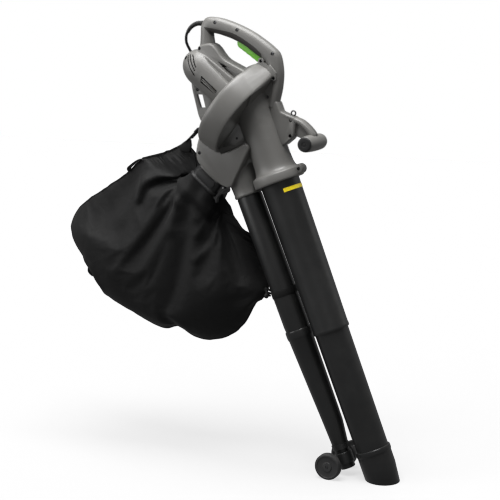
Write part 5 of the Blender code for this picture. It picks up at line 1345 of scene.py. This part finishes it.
bag_points = []
flat_points = []
front_at = {}
back_at = {}
seam_count = len(seam)
for number, spot in enumerate(flat):
    shared = number < seam_count
    for side, table in ((-1.0, front_at), (1.0, back_at)):
        if shared and side > 0.0:
            table[number] = front_at[number]
            continue
        table[number] = len(bag_points)
        bag_points.append(Vector((spot.x, 0.0, spot.y)) if shared else swollen(spot, side))
        flat_points.append(spot)
bag_faces = [[front_at[corner] for corner in triangle] for triangle in triangles]
bag_faces += [[back_at[corner] for corner in reversed(triangle)] for triangle in triangles]
bag_mesh = bpy.data.meshes.new("cloth_bag")
bag_mesh.from_pydata([tuple(point) for point in bag_points], [], bag_faces)
flat_map = bag_mesh.uv_layers.new(name="Flat Panel")
for loop in bag_mesh.loops:
    spot = flat_points[loop.vertex_index]
    flat_map.data[loop.index].uv = (spot.x * 2.0 + 1.0, spot.y * 2.0 + 1.6)
cloth_bag = bpy.data.objects.new("cloth_bag", bag_mesh)
bpy.context.collection.objects.link(cloth_bag)
print("bag", len(bag_points), "points")

# %% [markdown]
# Then the cloth is left to settle. A little pressure stands for the air the fan blows in, the weave
# resists stretching, and the cut is a touch larger than the space, so that folds have to form. The rim
# is held on the collar and the seam keeps near its line.

# %% Settle the cloth
SETTLE_FRAMES = 26
CLOTH = {"quality": 7, "mass": 0.22, "tension_stiffness": 22.0, "compression_stiffness": 14.0,
         "shear_stiffness": 9.0, "bending_stiffness": 0.9, "air_damping": 3.0, "use_pressure": True,
         "uniform_pressure_force": 1.6, "vertex_group_mass": "held", "pin_stiffness": 1.2,
         "shrink_min": -0.035}
start_shape = [point.copy() for point in bag_points]
held = cloth_bag.vertex_groups.new(name="held")
neck_numbers = {table[number] for number in range(seam_count, count) for table in (front_at, back_at)}
neck_numbers |= {front_at[0], front_at[seam_count - 1]}
seam_numbers = {front_at[number] for number in range(seam_count)} - neck_numbers
held.add(sorted(neck_numbers), 1.0, "REPLACE")
held.add(sorted(seam_numbers), 0.35, "REPLACE")
make_active(cloth_bag)
cloth = cloth_bag.modifiers.new("settle", "CLOTH")
for label, value in CLOTH.items():
    setattr(cloth.settings, label, value)
cloth.settings.effector_weights.gravity = 0.25
cloth.point_cache.frame_start = 1
cloth.point_cache.frame_end = SETTLE_FRAMES
for frame_number in range(1, SETTLE_FRAMES + 1):
    bpy.context.scene.frame_set(frame_number)
bpy.ops.object.modifier_apply(modifier="settle")
bpy.context.scene.frame_set(1)
MOST_MOVE = 0.024
moved = 0.0
for corner, start in zip(cloth_bag.data.vertices, start_shape):
    step = corner.co - start
    moved = max(moved, step.length)
    if step.length > MOST_MOVE:
        corner.co = start + step.normalized() * MOST_MOVE
print("cloth moved at most", round(moved, 4), "m")

# %% [markdown]
# The big folds of a bag are not chance: they run from the corners where it is held. They are drawn in as
# lines along which the cloth lifts or sinks, each with its own width, and they fade out at the seam.

# %% Folds from the neck and the corners
SEAM_FADE = 0.03
NECK_FADE = 0.06
FOLDS = [
    ([(-0.13, -0.295), (-0.16, -0.309), (-0.1903, -0.3292), (-0.2062, -0.3538), (-0.2221, -0.3785),
      (-0.235, -0.405)], 0.014, -0.015),
    ([(-0.195, -0.305), (-0.215, -0.326), (-0.233, -0.356), (-0.25, -0.39)], 0.011, 0.006),
    ([(-0.1444, -0.333), (-0.138, -0.356), (-0.133, -0.39)], 0.01, 0.008),
    ([(-0.144, -0.3367), (-0.16, -0.3578), (-0.18, -0.396)], 0.0085, 0.0075),
    ([(-0.144, -0.3367), (-0.1295, -0.3627), (-0.125, -0.4)], 0.0085, 0.006),
    ([(-0.1182, -0.372), (-0.096, -0.402), (-0.085, -0.43)], 0.0075, 0.005),
    ([(-0.0545, -0.4081), (-0.06, -0.44), (-0.076, -0.47)], 0.008, 0.0045),
    ([(-0.14, -0.332), (-0.1205, -0.356), (-0.118, -0.38), (-0.13, -0.42), (-0.14, -0.462)],
     0.013, 0.0075),
    ([(-0.096, -0.39), (-0.104, -0.412), (-0.117, -0.444)], 0.016, -0.0075),
    ([(0.025, -0.435), (-0.004, -0.462), (-0.036, -0.49), (-0.074, -0.526)], 0.0085, 0.0065),
    ([(0.012, -0.428), (-0.024, -0.46), (-0.064, -0.492)], 0.015, -0.005),
    ([(-0.393, -0.556), (-0.374, -0.568), (-0.362, -0.596), (-0.352, -0.626)], 0.008, 0.006),
    ([(-0.4, -0.586), (-0.383, -0.605), (-0.37, -0.625)], 0.012, -0.008),
    ([(-0.123, -0.718), (-0.138, -0.692), (-0.164, -0.674)], 0.012, -0.007),
    ([(-0.108, -0.722), (-0.124, -0.69), (-0.15, -0.664)], 0.01, 0.0045),
    ([(-0.3, -0.48), (-0.286, -0.54), (-0.254, -0.606)], 0.032, -0.005),
    ([(0.032, -0.515), (0.018, -0.565), (0.025, -0.61)], 0.026, -0.008),
    ([(-0.025, -0.435), (-0.01, -0.5), (-0.015, -0.59)], 0.03, 0.004),
    ([(-0.25, -0.325), (-0.3, -0.39), (-0.35, -0.43)], 0.024, -0.004),
    ([(-0.205, -0.312), (-0.26, -0.37), (-0.295, -0.435)], 0.018, 0.0045),
]
fold_lines = [(smooth_line(line, 5), width, height) for line, width, height in FOLDS]
for number, corner in enumerate(cloth_bag.data.vertices):
    if number in neck_numbers or number in seam_numbers:
        continue
    spot = flat_points[number]
    fade = eased(off_line(spot, seam) / SEAM_FADE) * eased((spot - RIM_CENTRE).length / NECK_FADE)
    side = -1.0 if corner.co.y < 0.0 else 1.0
    lift = 0.0
    for line, width, height in fold_lines:
        away = off_line(spot, line) / width
        if away < 2.6:
            lift += height * math.exp(-away * away)
    corner.co.y += side * lift * fade * (1.0 if side < 0.0 else 0.7)
print("folds", len(fold_lines))

# %% [markdown]
# Where the bag is pulled over the collar, its hem bunches into a ring of small gathers. They are waves
# round the neck that grow with the distance from the collar and then die out in the panel. One bulge and
# one dip behind it run right round and make the thick hem.

# %% Gathers round the neck
for number, corner in enumerate(cloth_bag.data.vertices):
    if number in neck_numbers:
        continue
    place = Vector((corner.co.x, corner.co.z)) - RIM_CENTRE
    run = place.dot(RIM_OUT)
    if not 0.0 < run < 0.085:
        continue
    turn = math.atan2(corner.co.y, place.dot(RIM_ACROSS))
    grow = eased(run / 0.012) * (1.0 - eased((run - 0.03) / 0.05))
    wave = 0.55 * math.sin(9.0 * turn + 0.6) + 0.3 * math.sin(17.0 * turn + 1.9 + 30.0 * run)
    hem = math.exp(-((run - 0.036) / 0.01) ** 2)
    swing = 0.003 * grow * wave + 0.0062 * hem - 0.005 * math.exp(-((run - 0.056) / 0.009) ** 2)
    outwards = Vector((RIM_ACROSS.x * math.cos(turn), math.sin(turn), RIM_ACROSS.y * math.cos(turn)))
    corner.co += outwards * swing
print("bag reaches", round(max(corner.co.y for corner in cloth_bag.data.vertices), 3), "m to the left")

# %% [markdown]
# The strap holds the top edge up, so the settled cloth there is drawn back to the line of its seam. The
# edge stays sharp, and under the strap's tab the cloth is lifted a little and pinched narrow.

# %% Top edge held by the strap
top_pulls = []
top_numbers = set()
for number in range(seam_count):
    spot = flat[number]
    if -0.262 < spot.x < -0.104 and spot.y > -0.312:
        top_numbers.add(front_at[number])
        now = cloth_bag.data.vertices[front_at[number]].co
        top_pulls.append((spot, Vector((spot.x, 0.0, spot.y)) - now))
for number, corner in enumerate(cloth_bag.data.vertices):
    spot = flat_points[number]
    near_spot, pull = min(top_pulls, key=lambda entry: (entry[0] - spot).length_squared)
    share = math.exp(-((near_spot - spot).length / 0.03) ** 2)
    corner.co += pull * share
firm = cloth_bag.data.attributes.new("crease_edge", "FLOAT", "EDGE")
for edge in cloth_bag.data.edges:
    if set(edge.vertices) <= top_numbers:
        firm.data[edge.index].value = 0.8
PEAK = Vector((-0.132, -0.27))
PEAK_WIDTH = 0.03
for corner in cloth_bag.data.vertices:
    away = (Vector((corner.co.x, corner.co.z)) - PEAK).length / PEAK_WIDTH
    pull = math.exp(-away * away) * math.exp(-(corner.co.y / 0.045) ** 2)
    corner.co.z += 0.003 * pull
    corner.co.y *= 1.0 - 0.55 * pull
print("held edge", len(top_numbers), "points")

# %% [markdown]
# The edge of the full bag is wider than the room beside the blow tube, so it slips past behind the tube.

# %% Edge behind the blow tube
BLOWER_BACK = BLOWER.inverted()
for corner in cloth_bag.data.vertices:
    spot = BLOWER_BACK @ corner.co
    beside = eased((spot.x + 0.08) / 0.048)
    along = eased((-spot.z - 0.085) / 0.035) * (1.0 - 0.75 * eased((-spot.z - 0.19) / 0.045))
    corner.co.y += 0.036 * beside * along
bag_low = min(corner.co.z for corner in cloth_bag.data.vertices)
print("bag bottom", round(bag_low, 4))

# %% [markdown]
# One level of subdivision rounds the small triangles once all the folds are in.

# %% Finer cloth
make_active(cloth_bag)
finer = cloth_bag.modifiers.new("finer", "SUBSURF")
finer.levels = 1
finer.render_levels = 1
bpy.ops.object.modifier_apply(modifier="finer")
edit(cloth_bag, outward)
print("bag faces", len(cloth_bag.data.polygons))

# %% [markdown]
# Woven nylon shows its threads only close up: each thread goes over one neighbour and under the next.
# Two rounded waves, one along each thread direction, are swapped square by square to get that pattern.

# %% Group: plain weave
weave_group, entry, leave = new_group(
    "Plain Weave", [("Position", "vector", None), ("Threads", "value", 400.0)],
    [("Height", "value"), ("Mask", "value")])
scaled = node(weave_group, "ShaderNodeVectorMath", [(0, entry.outputs["Position"]),
                                                    ("Scale", entry.outputs["Threads"])], operation="SCALE")
axes = node(weave_group, "ShaderNodeSeparateXYZ", [(0, scaled.outputs["Vector"])])
waves = []
for axis in ("X", "Y"):
    half_turns = node(weave_group, "ShaderNodeMath", [(0, axes.outputs[axis]), (1, math.pi)],
                      operation="MULTIPLY")
    wave = node(weave_group, "ShaderNodeMath", [(0, half_turns.outputs[0])], operation="SINE")
    waves.append(node(weave_group, "ShaderNodeMath", [(0, wave.outputs[0])], operation="ABSOLUTE"))
squares = node(weave_group, "ShaderNodeTexChecker", [("Vector", scaled.outputs["Vector"]), ("Scale", 1.0)])
thread = node(weave_group, "ShaderNodeMix", [("Factor", squares.outputs["Fac"]), (2, waves[0].outputs[0]),
                                             (3, waves[1].outputs[0])], data_type="FLOAT")
weave_group.links.new(thread.outputs[0], leave.inputs["Height"])
weave_group.links.new(squares.outputs["Fac"], leave.inputs["Mask"])
print("groups", len(bpy.data.node_groups))

# %% [markdown]
# The cloth is black with a grey bloom where it is rubbed, its threads carry a painted shade in their dips,
# and soft small creases lie under the weave.

# %% Cloths


def cloth_finish(name, colour, threads, coordinate, crease, sheen):
    """A woven cloth with creases, dusty patches and a soft sheen."""
    made, tree, shader = new_material(name)
    spot = node(tree, "ShaderNodeTexCoord")
    place = spot.outputs["Object"]
    weave = grouped(tree, weave_group, [("Position", spot.outputs[coordinate]), ("Threads", threads)])
    patches = node(tree, "ShaderNodeTexNoise", [("Vector", place), ("Scale", 11.0), ("Detail", 6.0),
                                                ("Roughness", 0.62)])
    patch = node(tree, "ShaderNodeMapRange", [("Value", patches.outputs["Fac"]), ("From Min", 0.35),
                                              ("From Max", 0.75), ("To Min", 0.0), ("To Max", 0.55)])
    lighter = tuple(part * 1.9 + 0.002 for part in colour)
    bloom = node(tree, "ShaderNodeMix", [("Factor", patch.outputs["Result"]), (6, (*colour, 1.0)),
                                         (7, (*lighter, 1.0))], data_type="RGBA")
    # The dips between the threads are painted darker, as a painted shade in the weave.
    painted_weave_shade = node(tree, "ShaderNodeMapRange", [("Value", weave.outputs["Height"]), ("To Min", 0.72),
                                                    ("To Max", 1.1)])
    toned = node(tree, "ShaderNodeVectorMath", [(0, bloom.outputs[2]),
                                                ("Scale", painted_weave_shade.outputs["Result"])], operation="SCALE")
    dusted = grouped(tree, dust_group, [("Position", place), ("Colour", toned.outputs["Vector"]),
                                        ("Dust Colour", (0.1, 0.096, 0.088, 1.0)), ("Amount", 0.08)])
    creases = node(tree, "ShaderNodeTexNoise", [("Vector", place), ("Scale", 26.0), ("Detail", 5.0),
                                                ("Distortion", 1.2)])
    crease_bump = node(tree, "ShaderNodeBump", [("Height", creases.outputs["Fac"]), ("Strength", crease),
                                                ("Distance", 0.004)])
    weave_bump = node(tree, "ShaderNodeBump", [("Height", weave.outputs["Height"]), ("Strength", 0.35),
                                               ("Distance", 0.0003),
                                               ("Normal", crease_bump.outputs["Normal"])])
    rough = node(tree, "ShaderNodeMapRange", [("Value", patches.outputs["Fac"]), ("To Min", 0.58),
                                              ("To Max", 0.8)])
    fed(tree, shader, dusted.outputs["Colour"], rough.outputs["Result"], weave_bump.outputs["Normal"])
    shader.inputs["Sheen Weight"].default_value = sheen
    shader.inputs["Sheen Roughness"].default_value = 0.45
    shader.inputs["Specular IOR Level"].default_value = 0.22
    return made


bag_cloth = cloth_finish("bag_cloth", (0.0042, 0.0042, 0.0043), 420.0, "UV", 0.45, 0.03)
webbing = cloth_finish("webbing", (0.005, 0.005, 0.005), 700.0, "Object", 0.15, 0.04)
dress(cloth_bag, bag_cloth, smooth=180.0, replaces=("bag",), slot="bag_fabric")

# %% [markdown]
# The seam is bound with a narrow tape, so a thin round welt follows the shared edge of the panels.

# %% Seam welt, loop tab and zip pull
welt_line = [Vector(cloth_bag.data.vertices[front_at[number]].co) for number in range(seam_count)]
welt = tube_round("seam_welt", welt_line, [0.0017] * len(welt_line), 8)
dress(welt, webbing, smooth=60.0, slot="bag_fabric")


def band_piece(name, line, half_width, thickness):
    """A flat strap of webbing that follows a line of (x, z) points."""
    strap = rounded(slab(name, ribbon(line, thickness), -half_width, half_width), thickness * 0.3, 2, 60.0)
    return dress(strap, webbing, smooth=60.0, slot="bag_fabric")


LOOP_LINE = [(-0.246, -0.313), (-0.252, -0.3095), (-0.266, -0.3148), (-0.282, -0.3258),
             (-0.2905, -0.3338), (-0.288, -0.341)]
PULL_LINE = [(-0.405, -0.587), (-0.412, -0.593), (-0.412, -0.604), (-0.401, -0.613)]
band_piece("loop_tab", smooth_line(LOOP_LINE, 5), 0.0085, 0.002)
band_piece("zip_pull", smooth_line(PULL_LINE, 4), 0.005, 0.0026)
print("welt", len(welt_line), "points")

# %% [markdown]
# The bag hangs from a short strap. Its two plies meet in a buckle, and a triangle of webbing spreads the
# pull over the bag's top. Each ply is a thin band that follows a line.

# %% Strap
STRAP_LINE = [(-0.08, -0.2195), (-0.09, -0.225), (-0.102, -0.2352), (-0.115, -0.248),
              (-0.129, -0.261)]
STRAP_TAB = [(-0.121, -0.253), (-0.118, -0.2575), (-0.1165, -0.27), (-0.12, -0.286),
             (-0.145, -0.285), (-0.148, -0.274), (-0.138, -0.264)]
strap_line = smooth_line(STRAP_LINE, 4)
strap = band_piece("strap", strap_line, 0.007, 0.002)
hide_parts("bag_strap")
band_piece("strap_back", [(x + 0.0022, z - 0.002) for x, z in strap_line[3:-3]], 0.0068, 0.0018)
strap_tab = rounded(slab("strap_tab", STRAP_TAB, -0.0042, 0.0042), 0.0012, 2, 50.0)
dress(strap_tab, webbing, smooth=60.0, slot="bag_fabric")
print("strap", round(sum((b - a).length for a, b in zip(strap_line, strap_line[1:])), 4), "m long")

# %% [markdown]
# The buckle is a small flat plate with rounded corners and two holes for the webbing.

# %% Buckle
BUCKLE = Matrix.Translation((-0.0985, 0.0, -0.2322)) @ Matrix.Rotation(math.radians(-43.0), 4, "Y")
plate_points = [(x, y, -0.0022) for x, y in rounded_rectangle(0.0075, 0.0105, 0.0025, 4)]
buckle = rounded(pulled("strap_buckle", plate_points, (0.0, 0.0, 0.0044)), 0.0009, 2)
for offset in (-0.0036, 0.0036):
    hole_points = [(x + offset, y, -0.01) for x, y in rounded_rectangle(0.002, 0.008, 0.0012, 3)]
    cut_with(buckle, pulled("hole", hole_points, (0.0, 0.0, 0.02)))
dress(bake_place(buckle, BUCKLE), trim_black, smooth=40.0)
print("buckle", len(buckle.data.polygons), "faces")

# %% [markdown]
# An elastic loop with a toggle holds the bag's far corner to the blow tube: a ring round the tube and
# three short cords to the bag.

# %% Tie and toggle
tie_section = [(0.0296, -0.25), (0.0308, -0.2504), (0.0313, -0.249), (0.0313, -0.235), (0.0308, -0.2336),
               (0.0296, -0.234)]
dress(lathe("tie_ring", tie_section, 72, BLOWER), webbing, smooth=40.0, replaces=("bag_tie",),
      slot="bag_fabric")
for number, (lift, swing) in enumerate(((0.006, 0.9), (0.0, -0.7), (-0.006, 0.3))):
    cord_points = [(0.099, -0.012, -0.608 + lift), (0.093, -0.015 + 0.004 * swing, -0.605 + lift),
                   (0.088, -0.013, -0.602 + 0.5 * lift), (0.084, -0.008, -0.599 + 0.3 * lift)]
    cord = tube_round(f"tie_cord_{number}", smooth_line(cord_points, 5), [0.0021] * 16, 12)
    dress(cord, webbing, smooth=60.0)
TOGGLE = Matrix.Translation((0.0895, -0.014, -0.613)) @ Matrix.Rotation(math.radians(30.0), 4, "Y")
toggle_section = [(0.0, -0.006), (0.004, -0.006), (0.0052, -0.004), (0.0055, 0.0), (0.0052, 0.004),
                  (0.004, 0.006), (0.0, 0.006)]
toggle = dress(lathe("tie_toggle", toggle_section, 28, TOGGLE), trim_black, smooth=40.0)
print("toggle", len(toggle.data.polygons), "faces")

# %% [markdown]
# The hard collar of the bag is a rectangular ring with a rolled lip and a raised panel on each side.

# %% Bag collar
collar_ring = frame_ring("collar_ring", [
    (0.0363, 0.0433, 0.0143, 0.004), (0.0382, 0.0452, 0.016, 0.0036), (0.0388, 0.0458, 0.0166, 0.0046),
    (0.0388, 0.0458, 0.0166, 0.0262), (0.04, 0.047, 0.0178, 0.0272), (0.042, 0.049, 0.0198, 0.0284),
    (0.043, 0.05, 0.0208, 0.03), (0.043, 0.05, 0.0208, 0.0322), (0.0418, 0.0488, 0.0196, 0.0336),
    (0.0395, 0.0465, 0.0173, 0.034), (0.034, 0.041, 0.0118, 0.034), (0.0338, 0.0408, 0.0116, 0.015),
    (0.0363, 0.0433, 0.0143, 0.014)], OUTLET)
collar_panels = []
for side in BOTH_SIDES:
    low, high = span(side, 0.044, 0.0474)
    panel_points = [(x, low, z + 0.015) for x, z in rounded_rectangle(0.0275, 0.0088, 0.007, 5)]
    panel = pulled("collar_panel", panel_points, (0.0, high - low, 0.0))
    collar_panels.append(rounded(bake_place(panel, OUTLET), 0.0011, 3))
joined(collar_ring, *collar_panels)
dress(collar_ring, trim_black, smooth=45.0, replaces=("bag_collar",), slot="black_plastic")
print("collar", len(collar_ring.data.polygons), "faces")

# %% [markdown]
# ## Carried-over pieces
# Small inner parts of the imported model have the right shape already. They only take better finishes.

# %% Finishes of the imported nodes
CARRIED = (
    (plated_steel, ("motor_shaft", "front_bearing", "rear_bearing", "trigger_pin", "latch_pin")),
    (screw_steel, ("impeller_nut", "grip_rear_screw", "grip_middle_screw", "grip_front_screw", "post_screw",
                   "spine_screw", "duct_screw", "flange_screw")),
    (laminated_steel, ("armature_core", "motor_stator")),
    (wound_copper, ("commutator",)),
    (pressed_brass, ("left_brush_holder", "right_brush_holder")),
    (trim_black, ("left_carbon_brush", "right_carbon_brush", "cooling_fan", "impeller", "motor_bulkhead",
                  "rear_bearing_bracket", "switch_body", "diverter_flap", "diverter_lever", "bag_latch")),
    (cord_rubber, ("plug",)),
    (tube_black, ("tube_clip",)),
)
for finish, labels in CARRIED:
    for label in labels:
        for slot_place in bpy.data.objects[label].material_slots:
            slot_place.material = finish
print("finished nodes", sum(len(labels) for finish, labels in CARRIED))

# %% [markdown]
# The floor only catches the tool's shadow. A glow of its own keeps that shadow pale, and the floor is
# hidden from the tool's soft light and reflections, so that it lights nothing.

# %% Floor
pick_none()
bpy.ops.mesh.primitive_plane_add(size=12.0, location=(0.0, 0.0, GROUND))
floor = bpy.context.object
floor.name = "floor"
floor_white, tree, shader = new_material("floor_white")
shader.inputs["Base Color"].default_value = (0.9, 0.9, 0.9, 1.0)
shader.inputs["Roughness"].default_value = 0.6
shader.inputs["Emission Color"].default_value = (1.0, 1.0, 1.0, 1.0)
shader.inputs["Emission Strength"].default_value = 2.2
painted(floor, floor_white)
floor.is_shadow_catcher = True
floor.visible_diffuse = False
floor.visible_glossy = False
print("floor at", GROUND, "m")
